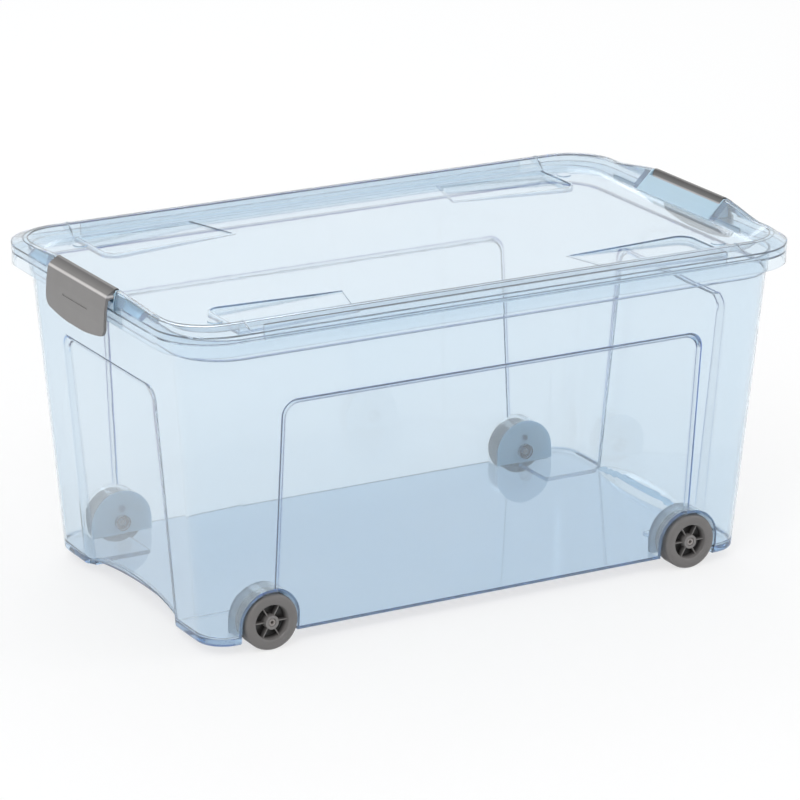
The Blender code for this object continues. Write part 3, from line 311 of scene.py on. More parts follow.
def hull(name, points):
    shape = bmesh.new()
    for point in points:
        shape.verts.new(point)
    found = bmesh.ops.convex_hull(shape, input=shape.verts)
    loose = [item for item in found["geom_interior"] if isinstance(item, bmesh.types.BMVert)]
    bmesh.ops.delete(shape, geom=loose, context="VERTS")
    return mesh_object(name, shape)


def box(name, one, other):
    low = Vector(min(pair) for pair in zip(one, other))
    high = Vector(max(pair) for pair in zip(one, other))
    shape = bmesh.new()
    place = Matrix.Translation((low + high) / 2) @ Matrix.Diagonal((*(high - low), 1.0))
    bmesh.ops.create_cube(shape, size=1.0, matrix=place)
    return mesh_object(name, shape)


def end_box(name, side, from_x, to_x, half_width, from_z, to_z):
    """Box across one end, as wide to the front as to the back."""
    return box(name, (side * from_x, -half_width, from_z), (side * to_x, half_width, to_z))


def rod(name, radius, centre_x, centre_z, from_y, to_y, steps=48):
    shape = bmesh.new()
    middle = Matrix.Translation((centre_x, (from_y + to_y) / 2, centre_z))
    place = middle @ Matrix.Rotation(math.pi / 2, 4, "X")
    bmesh.ops.create_cone(shape, cap_ends=True, segments=steps, radius1=radius, radius2=radius,
                          depth=abs(to_y - from_y), matrix=place)
    return mesh_object(name, shape)


def settle(item):
    """Apply the item's modifiers and keep the result as its mesh."""
    graph = bpy.context.evaluated_depsgraph_get()
    result = bpy.data.meshes.new_from_object(item.evaluated_get(graph), preserve_all_data_layers=True,
                                             depsgraph=graph)
    old = item.data
    item.modifiers.clear()
    item.data = result
    result.name = item.name
    bpy.data.meshes.remove(old)
    return item


def combine(target, other, operation):
    modifier = target.modifiers.new(operation.title(), "BOOLEAN")
    modifier.operation = operation
    modifier.object = other
    modifier.solver = "EXACT"
    settle(target)
    shape = bmesh.new()
    shape.from_mesh(target.data)
    bmesh.ops.remove_doubles(shape, verts=shape.verts, dist=WELD)
    bmesh.ops.dissolve_degenerate(shape, edges=shape.edges, dist=WELD)
    shape.to_mesh(target.data)
    shape.free()
    bpy.data.objects.remove(other, do_unlink=True)


def join(target, *others):
    for other in others:
        combine(target, other, "UNION")
    return target


def cut(target, *cutters):
    for cutter in cutters:
        combine(target, cutter, "DIFFERENCE")
    return target


def soften(points, reach, steps=4, closed=False):
    """Replace each corner of a chain of points by a short curve that starts and ends a reach away from it."""
    count = len(points)
    softened = []
    for index, point in enumerate(points):
        if not closed and index in (0, count - 1):
            softened.append(tuple(point))
            continue
        here = Vector(point)
        before = Vector(points[index - 1]) - here
        after = Vector(points[(index + 1) % count]) - here
        start = here + before * min(0.45, reach / max(before.length, 1e-9))
        end = here + after * min(0.45, reach / max(after.length, 1e-9))
        for step in range(steps + 1):
            t = step / steps
            softened.append(tuple(start * (1 - t) ** 2 + here * 2 * t * (1 - t) + end * t ** 2))
    return softened


def soft_edges(item, width):
    """Small moulded radius on the hard edges, with flat faces kept flat."""
    bevel = item.modifiers.new("Moulded Edges", "BEVEL")
    bevel.width = width
    bevel.segments = 2
    bevel.limit_method = "ANGLE"
    bevel.angle_limit = BEVEL_FROM
    bevel.use_clamp_overlap = True
    settle(item)
    item.data.shade_smooth()
    item.data.set_sharp_from_angle(angle=SHARP_FROM)
    weighted = item.modifiers.new("Flat Faces", "WEIGHTED_NORMAL")
    weighted.keep_sharp = True
    weighted.weight = 60
    return settle(item)


def dress(item, body, slot, finish, *nodes):
    """Give a piece its finish, let it ride on its body, and let it stand for its node."""
    item.data.materials.clear()
    item.data.materials.append(finish)
    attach(item, body)
    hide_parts(*nodes)


def arc(centre, radius, start, end, steps):
    """Points along an arc from one angle to another, in degrees, with both ends."""
    turns = [math.radians(start + (end - start) * step / steps) for step in range(steps + 1)]
    return [(centre[0] + radius * math.cos(turn), centre[1] + radius * math.sin(turn)) for turn in turns]


def rounded_outline(half, radius, steps, end_stations=(), inset=0.0):
    """Rounded rectangle as (x, y) points, anticlockwise, with extra points along both ends."""
    half, radius = half - Vector((inset, inset)), radius - inset
    points = []
    for corner, (side_x, side_y) in enumerate(((1, 1), (-1, 1), (-1, -1), (1, -1))):
        centre = (side_x * (half[0] - radius), side_y * (half[1] - radius))
        points.extend(arc(centre, radius, 90.0 * corner, 90.0 * (corner + 1), steps))
        if corner == 1:
            points.extend((-half[0], y) for y in sorted(end_stations, reverse=True))
        if corner == 3:
            points.extend((half[0], y) for y in sorted(end_stations))
    return points


def at_height(outline, height):
    return [(x, y, height) for x, y in outline]


def each_wheel():
    """Side in X and side in Y of each wheel."""
    return [(side_x, side_y) for side_y in (-1, 1) for side_x in (-1, 1)]


def wheel_place(side_x, side_y):
    return f"{'front' if side_y < 0 else 'back'}_{'left' if side_x < 0 else 'right'}"


# ---------------- node tools
def add_node(tree, kind, settings=None, **inputs):
    """Add a node with its settings, and link or set its inputs.

    An input's name has _ for each space. An i and a number stand for the input at that place.
    """
    made = tree.nodes.new(kind)
    for name, value in (settings or {}).items():
        setattr(made, name, value)
    for name, value in inputs.items():
        by_place = name[0] == "i" and name[1:].isdigit()
        socket = made.inputs[int(name[1:]) if by_place else name.replace("_", " ")]
        if isinstance(value, bpy.types.NodeSocket):
            tree.links.new(value, socket)
        else:
            socket.default_value = value
    return made


def calculate(tree, operation, first, second=0.0):
    return add_node(tree, "ShaderNodeMath", {"operation": operation}, i0=first, i1=second).outputs["Value"]


def remap(tree, value, one, other):
    """The value, carried from one range to the other and kept inside it."""
    return add_node(tree, "ShaderNodeMapRange", Value=value, From_Min=one[0], From_Max=one[1],
                    To_Min=other[0], To_Max=other[1]).outputs["Result"]


def noise(tree, place, feature_mm, detail):
    """Soft noise over the object, with features of a real size."""
    return add_node(tree, "ShaderNodeTexNoise", Vector=place, Scale=1 / (feature_mm * MM),
                    Detail=detail).outputs["Fac"]


def new_finish(name):
    finish = bpy.data.materials.new(name)
    finish.use_nodes = True
    finish.node_tree.nodes.clear()
    return finish, finish.node_tree


def clear_polypropylene(skin, tint, depth_colour, clear_share):
    """Clarified polypropylene, injection moulded in a polished tool.

    It lets nearly all light straight through, is a little blue where it is seen edge-on,
    and its skin has very shallow flow waves that make long soft reflections uneven.
    Where the tool is sand-blasted the clear share is less, and the skin looks milky.
    """
    finish, tree = new_finish(f"{skin}_polypropylene_moulded")
    place = add_node(tree, "ShaderNodeTexCoord").outputs["Object"]
    waves = add_node(tree, "ShaderNodeBump", Height=noise(tree, place, feature_mm=35.7, detail=2.0),
                     Strength=0.06, Distance=0.6 * MM)
    blasted = (SKINS[CLEAR][-1] - clear_share) / 2
    haze = noise(tree, place, feature_mm=111.0, detail=3.0)
    rough = remap(tree, haze, (0.0, 1.0), (blasted, blasted + 0.03))
    clouds = noise(tree, place, feature_mm=167.0, detail=1.0)
    uneven = add_node(tree, "ShaderNodeMix", {"data_type": "RGBA"}, i0=clouds,
                      i6=(*tint, 1.0), i7=(*(channel ** 1.6 for channel in tint), 1.0))
    shader = add_node(tree, "ShaderNodeBsdfPrincipled", Base_Color=uneven.outputs[2], IOR=PLASTIC_IOR,
                      Roughness=rough, Transmission_Weight=clear_share, Normal=waves.outputs["Normal"])
    depth = add_node(tree, "ShaderNodeVolumeAbsorption", Color=(*depth_colour, 1.0), Density=DEPTH_DENSITY)
    add_node(tree, "ShaderNodeOutputMaterial", Surface=shader.outputs["BSDF"], Volume=depth.outputs["Volume"])
    return finish


def painted_wheel_light(tree, place):
    """Painted light on a wheel: painted shade deep in its dish, painted highlights on hub and spoke edges, ring
    lighter.
    """
    part = add_node(tree, "ShaderNodeSeparateXYZ", Vector=place).outputs
    # Painted shade at the bottom of the dish and a painted highlight on the hub and the spokes' fronts, by depth
    depth = remap(tree, calculate(tree, "ABSOLUTE", part["Y"]),
                  (WHEEL_FACE_Y - DISH_DEPTH, WHEEL_FACE_Y - SPOKE_RECESS), (0.14, 1.6))
    across = calculate(tree, "SUBTRACT", calculate(tree, "ABSOLUTE", part["X"]), WHEEL_AT_X)
    up = calculate(tree, "SUBTRACT", part["Z"], AXLE_Z)
    reach = add_node(tree, "ShaderNodeCombineXYZ", X=across, Z=up)
    radius = add_node(tree, "ShaderNodeVectorMath", {"operation": "LENGTH"}, i0=reach.outputs["Vector"])
    ring = remap(tree, radius.outputs["Value"], (DISH_RADIUS - 0.6 * MM, DISH_RADIUS + 0.8 * MM), (0.0, 1.0))
    return add_node(tree, "ShaderNodeMix", {"data_type": "FLOAT"}, i0=ring, i2=depth, i3=1.25).outputs[0]


def painted_latch_light(tree, place):
    """Painted light up a latch: painted shade on the sloped top, darker towards its crest, and a painted
    highlight along the ridge.
    """
    height = add_node(tree, "ShaderNodeSeparateXYZ", Vector=place).outputs["Z"]
    slope = remap(tree, height, (LATCH_SHOULDER_Z, LATCH_TOP_Z - MM), (0.85, 0.32))
    from_ridge = calculate(tree, "ABSOLUTE", calculate(tree, "SUBTRACT", height, LATCH_HIGHLIGHT_Z))
    return calculate(tree, "MULTIPLY", slope, remap(tree, from_ridge, (0.5 * MM, 1.5 * MM), (3.0, 1.0)))


def grained_plastic(name, colour, roughness, grain_mm, grain_height, painted_light_of=None):
    """Filled polypropylene or acetal from a fine-sparked tool: satin, with a fine grain, uneven pigment and any
    painted light.
    """
    finish, tree = new_finish(name)
    place = add_node(tree, "ShaderNodeTexCoord").outputs["Object"]
    clouds = noise(tree, place, feature_mm=16.7, detail=4.0)
    grain = add_node(tree, "ShaderNodeBump", Height=noise(tree, place, grain_mm, 2.0), Strength=grain_height,
                     Distance=0.2 * MM)
    tone_and_painted_light = remap(tree, clouds, (0.0, 1.0), (0.88, 1.12))
    # Painted light: painted shade and highlights from the piece's shape, multiplied into its colour
    if painted_light_of:
        tone_and_painted_light = calculate(tree, "MULTIPLY", tone_and_painted_light, painted_light_of(tree, place))
    shade = add_node(tree, "ShaderNodeVectorMath", {"operation": "SCALE"}, i0=colour, Scale=tone_and_painted_light)
    rough = remap(tree, clouds, (0.0, 1.0), (roughness - 0.06, roughness + 0.06))
    shader = add_node(tree, "ShaderNodeBsdfPrincipled", Base_Color=shade.outputs["Vector"], IOR=PLASTIC_IOR,
                      Roughness=rough, Normal=grain.outputs["Normal"])
    add_node(tree, "ShaderNodeOutputMaterial", Surface=shader.outputs["BSDF"])
    return finish


def clear_finishes(context):
    """The four skins of the clear plastic, made once, in the order of CLEAR, SATIN, EDGE and MILKY."""
    colours = context.scene.clear_box_colours
    return [bpy.data.materials.get(f"{skin}_polypropylene_moulded") or
            clear_polypropylene(skin, getattr(colours, tint), colours.depth, clear_share)
            for skin, tint, clear_share in SKINS]


def dress_clear(item, body, skin_of, context):
    """Dress a clear moulding, with the skin of each face chosen from its place and direction."""
    clear, *others = clear_finishes(context)
    dress(item, body, "clear_blue_polypropylene", clear, body)
    for finish in others:
        item.data.materials.append(finish)
    for face in item.data.polygons:
        face.material_index = skin_of(face.center, face.normal)


# ---------------- tub
def wall_at(height):
    return FOOT_HALF + WALL_SLOPE * (height - FOOT_Z)


def wall_corner(height):
    return FOOT_CORNER + (height - FOOT_Z) / (RIM_Z - FOOT_Z) * (TOP_CORNER - FOOT_CORNER)


def wall_loop(height, inset, steps):
    return at_height(rounded_outline(wall_at(height), wall_corner(height), steps, inset=inset), height)


def tapered_body(name, bottom, top, inset, rounding, steps):
    """Tapered box with a rounded base edge and the shallow step under the rim."""
    base = arc((inset + STEP_DEPTH + rounding, bottom + rounding), rounding, 270.0, 180.0, 6)
    loops = [wall_loop(height, inwards, steps) for inwards, height in base]
    loops += [wall_loop(STEP_Z + rise, inset + STEP_DEPTH * share, steps) for rise, share in STEP_CURVE]
    return loft(name, [*loops, wall_loop(top, inset, steps)])


def smooth(share):
    """0 to 1 with a soft start and a soft end."""
    return share * share * (3 - 2 * share)


def panel_outline(half_width, top, corner):
    """Arch-topped outline (across, up) with two rounded upper corners."""
    right = arc((half_width - corner, top - corner), corner, 0.0, 90.0, 10)
    left = arc((corner - half_width, top - corner), corner, 90.0, 180.0, 10)
    return [(half_width, -BASE_ROUNDING), *right, *left, (-half_width, -BASE_ROUNDING)]


def side_panel(side, grow):
    """Recess in a long wall: its first outline is out in front of the wall, the others go down its slope."""
    loops = []
    for share in (None, 0.0, 0.2, 0.4, 0.6, 0.8, 1.0):
        inset = SIDE_PANEL_DRAFT * (share or 0.0)
        depth = -PANEL_CUTTER_REACH if share is None else SIDE_PANEL_DEPTH * smooth(share) + grow
        outline = panel_outline(SIDE_PANEL_HALF_LENGTH + grow - inset, PANEL_TOP_Z + grow - inset,
                                SIDE_PANEL_CORNER - inset)
        loops.append([(x, side * (wall_at(z).y - STEP_DEPTH - depth), z) for x, z in outline])
    return loft("side_panel", loops)


def end_panel(side, grow):
    """Recess in an end wall, deeper towards the floor."""
    loops = []
    for share in (None, 0.0, 0.15, 0.35, 0.55, 0.75, 0.9, 1.0):
        t = share or 0.0
        outline = panel_outline(END_PANEL_HALF_WIDTH + grow - END_PANEL_DRAFT * t,
                                PANEL_TOP_Z + grow - END_PANEL_TOP_DEPTH * t, END_PANEL_CORNER)
        loop = []
        for y, z in outline:
            lower = (PANEL_TOP_Z - z) / (PANEL_TOP_Z - FLOOR_UNDERSIDE_Z)
            full = END_PANEL_TOP_DEPTH + lower * (END_PANEL_FOOT_DEPTH - END_PANEL_TOP_DEPTH)
            depth = -PANEL_CUTTER_REACH if share is None else full * smooth(t) + grow
            loop.append((side * (wall_at(z).x - STEP_DEPTH - depth), y, z))
        loops.append(loop)
    return loft("end_panel", loops)


def well(side_x, side_y, grow):
    radius = WELL_RADIUS + grow
    centre_x = side_x * WHEEL_AT_X
    outline = [(centre_x + radius, -BASE_ROUNDING), *arc((centre_x, AXLE_Z), radius, 0.0, 180.0, 32),
               (centre_x - radius, -BASE_ROUNDING)]
    return loft("well", [[(x, side_y * y, z) for x, z in outline] for y in (WELL_END_Y - grow, TOP_HALF.y)])


def scoop(side, grow):
    shape = bmesh.new()
    bmesh.ops.create_uvsphere(shape, u_segments=64, v_segments=32, radius=1.0)
    height = SCOOP_HEIGHT + SCOOP_SINK
    widen = math.sqrt(1 - (SCOOP_SINK / height) ** 2)
    size = Vector((SCOOP_REACH / widen + grow, SCOOP_HALF_WIDTH / widen + grow, height + grow))
    centre = Vector((side * (wall_at(FLOOR_UNDERSIDE_Z).x - END_PANEL_FOOT_DEPTH / 2), 0.0,
                     FLOOR_UNDERSIDE_Z - SCOOP_SINK))
    for vertex in shape.verts:
        vertex.co = vertex.co * size + centre
    return mesh_object("scoop", shape)


def wheel_rod(name, radius, side_x, side_y, from_y, to_y, rise=0.0, steps=48):
    """Rod on a wheel's axle, or above it."""
    return rod(name, radius, side_x * WHEEL_AT_X, AXLE_Z + rise, side_y * from_y, side_y * to_y, steps)


def make_cavity(steps):
    """All that is hollow inside the tub, with a boss and a small moulded dot at each wheel well."""
    cavity = tapered_body("cavity", FLOOR_Z, RIM_Z + CAVITY_RISE, WALL, BASE_ROUNDING + MM, steps)
    for side in (-1, 1):
        cut(cavity, side_panel(side, WALL), end_panel(side, WALL), scoop(side, WALL))
    for side_x, side_y in each_wheel():
        cut(cavity, well(side_x, side_y, WALL),
            wheel_rod("boss", BOSS_RADIUS, side_x, side_y, BOSS_BACK_Y, WELL_END_Y),
            wheel_rod("dot", DOT_RADIUS, side_x, side_y, WELL_END_Y - WALL - DOT_HEIGHT, WELL_END_Y,
                      DOT_RISE, 32))
    return cavity


def make_rim(steps):
    """Flat rim with its skirt: a solid band, then hollow underneath."""
    section = soften([(RIM_THICKNESS, SKIRT_BOTTOM_Z), (0.0, SKIRT_BOTTOM_Z), (0.0, RIM_Z),
                      (RIM_THICKNESS, RIM_Z)], SECTION_ROUNDING)
    rim = loft("rim", [at_height(rounded_outline(RIM_HALF, RIM_CORNER, steps, inset=inset), z)
                       for inset, z in section])
    inner = rounded_outline(RIM_HALF, RIM_CORNER, steps, inset=RIM_THICKNESS)
    return cut(rim, loft("under", [at_height(inner, SKIRT_BOTTOM_Z - 5 * OVERSHOOT),
                                   at_height(inner, RIM_Z - RIM_THICKNESS)]))


def make_tub(sizes):
    steps = sizes.corner_steps
    tub = tapered_body("tub_shell", FOOT_Z, RIM_Z, 0.0, BASE_ROUNDING, steps)
    join(tub, make_rim(steps))
    for side in (-1, 1):
        cut(tub, side_panel(side, 0.0), end_panel(side, 0.0))
    under, end_x, far = (-OVERSHOOT, FLOOR_UNDERSIDE_Z), SIDE_PANEL_HALF_LENGTH, RIM_HALF.x
    cut(tub, end_box("under_middle", 1, -end_x, end_x, far, *under))
    for side in (-1, 1):
        cut(tub, end_box("under_end", side, end_x - OVERSHOOT, far, FOOT_INNER_Y, *under), scoop(side, 0.0))
    for side_x, side_y in each_wheel():
        cut(tub, well(side_x, side_y, 0.0))
    cut(tub, make_cavity(steps))
    for side_x, side_y in each_wheel():
        join(tub, wheel_rod("spacer", BOSS_RADIUS, side_x, side_y, WELL_END_Y - WALL / 2, BOSS_FACE_Y))
        cut(tub, wheel_rod("pin_seat", PIN_RADIUS + GAP, side_x, side_y, PIN_END_Y - GAP, WHEEL_FACE_Y))
    return soft_edges(tub, sizes.edge_softness)


def tub_skin(point, normal):
    """Which finish a face has: clear walls, satin slopes, arches and underside, tinted edges, milky well ends."""
    reach = Vector((abs(point.x) - WHEEL_AT_X, max(0.0, point.z - AXLE_Z)))
    thickness = WALL + SKIN_MARGIN
    if WELL_END_Y - thickness < abs(point.y) and reach.length < WELL_RADIUS + thickness:
        return MILKY if abs(point.y) < WELL_END_Y + SKIN_MARGIN else SATIN
    if point.z < FLOOR_UNDERSIDE_Z + SKIN_MARGIN and normal.z < -UNDERSIDE_LEVEL:
        return SATIN
    room = wall_at(point.z) - Vector((wall_corner(point.z), wall_corner(point.z)))
    across = (abs(normal.x), abs(normal.y))
    upright = math.hypot(*across) if abs(point.x) > room.x and abs(point.y) > room.y else max(across)
    flatness = max(upright, abs(normal.z))
    return CLEAR if flatness > FLAT else SATIN if flatness > SLOPE else EDGE


# ---------------- lid
def shoulder_share(y):
    """0 far from the latch, 1 beside it."""
    share = (SHOULDER_FROM_Y - abs(y)) / (SHOULDER_FROM_Y - SHOULDER_FULL_Y)
    share = min(1.0, max(0.0, share))
    return (share + smooth(share)) / 2


def lid_loop(inset_end, inset_side, corner, height, raised, steps):
    """Rounded rectangle of the lid, raised and pushed outwards at the shoulders beside each latch."""
    pitch = (SHOULDER_FROM_Y - SHOULDER_FULL_Y) / SHOULDER_STEPS
    stations = [side * (SHOULDER_FULL_Y + pitch * step) for step in range(SHOULDER_STEPS + 1) for side in (-1, 1)]
    loop = []
    for x, y in rounded_outline(LID_HALF - Vector((inset_end, inset_side)), corner, steps, stations):
        lift = raised * shoulder_share(y) if abs(y) <= SHOULDER_FROM_Y + MM and abs(x) > RAMP_DEEP_X else 0.0
        loop.append((x + math.copysign(lift * SHOULDER_OUT, x), y, height + lift * SHOULDER_RISE))
    return loop


def make_lid_shell(steps):
    """Closed shell: along the underside from the panel to the lip, then over the crest to the panel's top.

    Each level is (inset of the ends, inset of the sides, corner radius, height, share of the shoulders' rise).
    """
    thick, bend, flat = LID_THICKNESS, 0.6 * LID_THICKNESS, 6 * MM
    crest, panel = CREST_INSET, PANEL_INSET
    under = [(panel.x + flat, panel.y + flat, PANEL_CORNER - flat, PANEL_Z - thick, 0.0),
             (panel.x - bend, panel.y - bend, PANEL_CORNER + bend, PANEL_Z - thick, 0.0),
             (crest.x + 0.5 * MM, crest.y + 0.5 * MM, CREST_CORNER, CREST_Z - thick - 0.6 * MM, 1.0),
             (crest.x - 2.2 * MM, crest.y - 2.2 * MM, CREST_CORNER + 2 * MM, CREST_Z - thick - 0.8 * MM, 1.0),
             (thick, thick, LID_CORNER - thick, LIP_TOP_Z - thick, 0.0),
             (thick, thick, LID_CORNER - thick, LID_BOTTOM_Z, 0.0)]
    over = [(0.0, 0.0, LID_CORNER, LID_BOTTOM_Z, 0.0),
            (0.0, 0.0, LID_CORNER, LIP_TOP_Z, 0.0),
            (crest.x - 3 * MM, crest.y - 3 * MM, CREST_CORNER + 3 * MM, CREST_Z - 0.4 * MM, 1.0),
            (crest.x + 1.2 * MM, crest.y + 1.2 * MM, CREST_CORNER - 1.2 * MM, CREST_Z - 0.3 * MM, 1.0),
            (panel.x, panel.y, PANEL_CORNER, PANEL_Z, 0.0),
            (panel.x + flat, panel.y + flat, PANEL_CORNER - flat, PANEL_Z, 0.0)]
    levels = soften(under, UNDER_ROUNDING) + soften(over, OVER_ROUNDING)
    return loft("lid_shell", [lid_loop(*level, steps) for level in levels])


def ramp(side_x, side_y, grow):
    """Wedge that is deepest near the end of the lid; grown, it is the pan under the ramp."""
    top = PANEL_Z - LID_THICKNESS / 2 if grow else PANEL_Z + 2 * LID_THICKNESS
    outer = RAMP_OUTER_Y + grow
    plan = [(RAMP_SHALLOW_X - grow, RAMP_INNER_Y_SHALLOW - grow),
            (RAMP_SHALLOW_X + RAMP_SHALLOW_SKEW - grow, outer), (RAMP_DEEP_X + grow, outer)]
    corner = RAMP_CORNER + grow
    plan += arc((RAMP_DEEP_X + grow - corner, RAMP_INNER_Y_DEEP - grow + corner), corner, 0.0, -90.0, 10)
    points = []
    for x, y in plan:
        share = (x - RAMP_SHALLOW_X) / (RAMP_DEEP_X - RAMP_SHALLOW_X)
        depth = RAMP_LEAST_DEPTH + (RAMP_DEPTH - RAMP_LEAST_DEPTH) * share
        points.append((side_x * x, side_y * y, top))
        points.append((side_x * x, side_y * y, PANEL_Z - depth - grow))
    return hull("ramp", points)


def tick(side_x, side_y):
    """Thin web across the raised rim of a long side."""
    crest_y = LID_HALF.y - CREST_INSET.y
    panel_y = LID_HALF.y - PANEL_INSET.y
    profile = [(LID_HALF.y - LID_THICKNESS, LIP_TOP_Z - LID_THICKNESS / 2),
               (LID_HALF.y - LID_THICKNESS, LIP_TOP_Z + TICK_PROUD), (crest_y + 3 * MM, CREST_Z + TICK_PROUD / 2),
               (crest_y - 1.5 * MM, CREST_Z + TICK_PROUD / 2), (panel_y, PANEL_Z + TICK_PROUD),
               (panel_y, PANEL_Z - LID_THICKNESS / 2)]
    across = (TICK_AT_X - TICK_THICKNESS / 2, TICK_AT_X + TICK_THICKNESS / 2)
    return hull("tick", [(side_x * x, side_y * y, z) for y, z in profile for x in across])


def nub(side_x, side_y):
    shape = bmesh.new()
    place = Matrix.Translation((side_x * NUB_AT.x, side_y * NUB_AT.y, PANEL_Z))
    bmesh.ops.create_cone(shape, cap_ends=True, segments=40, radius1=NUB_RADIUS,
                          radius2=NUB_RADIUS - NUB_TAPER, depth=2 * NUB_HEIGHT, matrix=place)
    return mesh_object("nub", shape)


def shelf(side):
    """Floor and back wall of the room that a latch turns in."""
    far = ROOM_HALF_WIDTH + OVERSHOOT
    plate = end_box("shelf", side, SHELF_X, POCKET_X, far, SHELF_Z - LID_THICKNESS, SHELF_Z)
    return join(plate, end_box("back_wall", side, POCKET_X - LID_THICKNESS, POCKET_X, far, LID_BOTTOM_Z,
                               SHELF_Z - LID_THICKNESS / 2))


def apron(side):
    """Wedge that carries the raised rim's slope on, up to the foot of the latch."""
    far = ROOM_HALF_WIDTH + OVERSHOOT
    profile = [(SHELF_X - 1.8 * MM, SHELF_Z - 1.6 * MM), (SHELF_X - 1.6 * MM, SHELF_Z - 0.9 * MM),
               (POCKET_X - 1 * MM, APRON_TOP_Z - 0.1 * MM), (POCKET_X - 0.3 * MM, APRON_TOP_Z),
               (POCKET_X, APRON_TOP_Z - 0.4 * MM), (POCKET_X, SHELF_Z - MM)]
    return hull("apron", [(side * x, y, z) for x, z in profile for y in (-far, far)])


def cheek(side, side_y):
    """Web that closes the rim beside the latch and carries the hinge bar."""
    crest = CREST_Z + SHOULDER_RISE
    thick = LID_THICKNESS
    profile = [(SHELF_X, SHELF_Z - thick), (SHELF_X, SHELF_Z - thick / 4),
               (LATCH_CREST_X - 3 * MM, crest - 1.5 * thick), (LATCH_CREST_X - MM, crest - thick / 4),
               (LATCH_CREST_X + HINGE_BAR_RADIUS, crest - thick / 2),
               (LID_HALF.x - GAP, LIP_TOP_Z - 1.4 * MM), (LID_HALF.x - GAP, LID_BOTTOM_Z),
               (POCKET_X - thick, LID_BOTTOM_Z)]
    across = (ROOM_HALF_WIDTH, ROOM_HALF_WIDTH + CHEEK_THICKNESS)
    return hull("cheek", [(side * x, side_y * y, z) for x, z in profile for y in across])


def make_lid(sizes):
    lid = make_lid_shell(sizes.corner_steps)
    for side_x, side_y in each_wheel():
        join(lid, ramp(side_x, side_y, LID_THICKNESS))
    for side_x, side_y in each_wheel():
        cut(lid, ramp(side_x, side_y, 0.0))
        join(lid, tick(side_x, side_y), nub(side_x, side_y))
    edge = wall_at(RIM_Z) - Vector((WALL + MM, WALL + MM))
    far = ROOM_HALF_WIDTH + OVERSHOOT
    room, above = ROOM_HALF_WIDTH + OVERSHOOT / 2, LATCH_TOP_Z + OVERSHOOT
    for side in (-1, 1):
        join(lid, box("side_rib", (-SIDE_RIB_HALF_LENGTH, side * edge.y, RIB_BOTTOM_Z),
                      (SIDE_RIB_HALF_LENGTH, side * (edge.y - RIB_THICKNESS), CREST_Z - 2 * LID_THICKNESS)),
             end_box("end_rib", side, edge.x, edge.x - RIB_THICKNESS, END_RIB_HALF_WIDTH, RIB_BOTTOM_Z,
                     PANEL_Z + LID_THICKNESS / 2))
        cut(lid, end_box("latch_room", side, POCKET_X, LATCH_FACE_X, room, RIB_BOTTOM_Z, above),
            end_box("shelf_room", side, SHELF_X - CREST_INSET.x, POCKET_X + OVERSHOOT, room, SHELF_Z, above))
        join(lid, shelf(side), apron(side), cheek(side, -1), cheek(side, 1),
             rod("hinge_bar", HINGE_BAR_RADIUS, side * HINGE_X, HINGE_Z, -far, far, 32))
    return soft_edges(lid, sizes.edge_softness * LID_SOFTNESS)


def lid_skin(point, normal):
    """Which finish a face has: clear panel and skirt, satin slopes, tinted edges, milky rooms of the latches."""
    room_end = ROOM_HALF_WIDTH + CHEEK_THICKNESS + MM / 2
    if abs(point.x) > LID_HALF.x - PANEL_INSET.x - MM and abs(point.y) < room_end:
        return MILKY
    if max(math.hypot(normal.x, normal.y), abs(normal.z)) > LID_FLAT:
        return CLEAR
    return SATIN if abs(normal.z) > LID_SLOPE else EDGE


# ---------------- latches
def latch_profile(with_catch):
    """Section of a latch as (distance from the middle of the box, height)."""
    face, lean, shoulder = LATCH_FACE_X, LATCH_LEAN, LATCH_SHOULDER_Z
    inner = face - LATCH_THICKNESS
    tip_x = RIM_HALF.x - CATCH_BITE
    edge_z = SKIRT_BOTTOM_Z - GAP
    tip_z = edge_z - (CATCH_BITE + GAP) * math.tan(CATCH_SLOPE)
    web_z = HINGE_Z - HINGE_BAR_RADIUS - 1.2 * MM
    catch = [(inner, CATCH_ROOT_Z), (tip_x, tip_z - 1.6 * MM), (tip_x, tip_z), (RIM_HALF.x + GAP, edge_z),
             (inner, edge_z + 1.2 * MM)]
    return [(LATCH_FOOT_X, LATCH_FOOT_Z), (LATCH_CREST_X - MM, LATCH_TOP_Z - 0.6 * MM),
            (LATCH_CREST_X, LATCH_TOP_Z), (LATCH_CREST_X + 2.5 * MM, LATCH_TOP_Z - 0.4 * MM),
            (face - lean * 2, shoulder + 1.2 * MM), (face - lean * 1.4, shoulder - 0.4 * MM),
            (face - lean, shoulder - 3.2 * MM), (face - lean * 0.3, shoulder - 13 * MM),
            (face, shoulder - 25 * MM), (face, LATCH_BOTTOM_Z), (inner, LATCH_BOTTOM_Z),
            *(catch if with_catch else []), (inner - lean * 0.3, shoulder - 13 * MM),
            (inner - lean, LATCH_FOOT_Z), (inner - lean * 2, web_z), (HINGE_X, web_z),
            (LATCH_FOOT_X + 2 * MM, LATCH_FOOT_Z - 0.2 * MM)]


def latch_prism(name, side, with_catch, half_width):
    section = soften(latch_profile(with_catch), LATCH_ROUNDING, 3, closed=True)
    return loft(name, [[(side * x, y, z) for x, z in section] for y in (-half_width, half_width)])


def latch_outline():
    """Front view of a latch, with a bowed lower edge and rounded corners, used to trim the plate."""
    top = LATCH_TOP_Z + OVERSHOOT
    low = LATCH_BOTTOM_Z - GAP / 3
    flat_half = LATCH_HALF_WIDTH - LATCH_CORNER
    corner_z = low + LATCH_BOW + LATCH_CORNER
    bow = [(flat_half * share / 8, low + LATCH_BOW * (share / 8) ** 2) for share in range(-8, 9)]
    points = [(LATCH_HALF_WIDTH, top), (-LATCH_HALF_WIDTH, top),
              *arc((-flat_half, corner_z), LATCH_CORNER, 180.0, 260.0, 10), *bow,
              *arc((flat_half, corner_z), LATCH_CORNER, 270.0, 360.0, 11)[1:]]
    far = LATCH_FACE_X + 2 * OVERSHOOT
    return loft("outline", [[(x, y, z) for y, z in points] for x in (-far, far)])


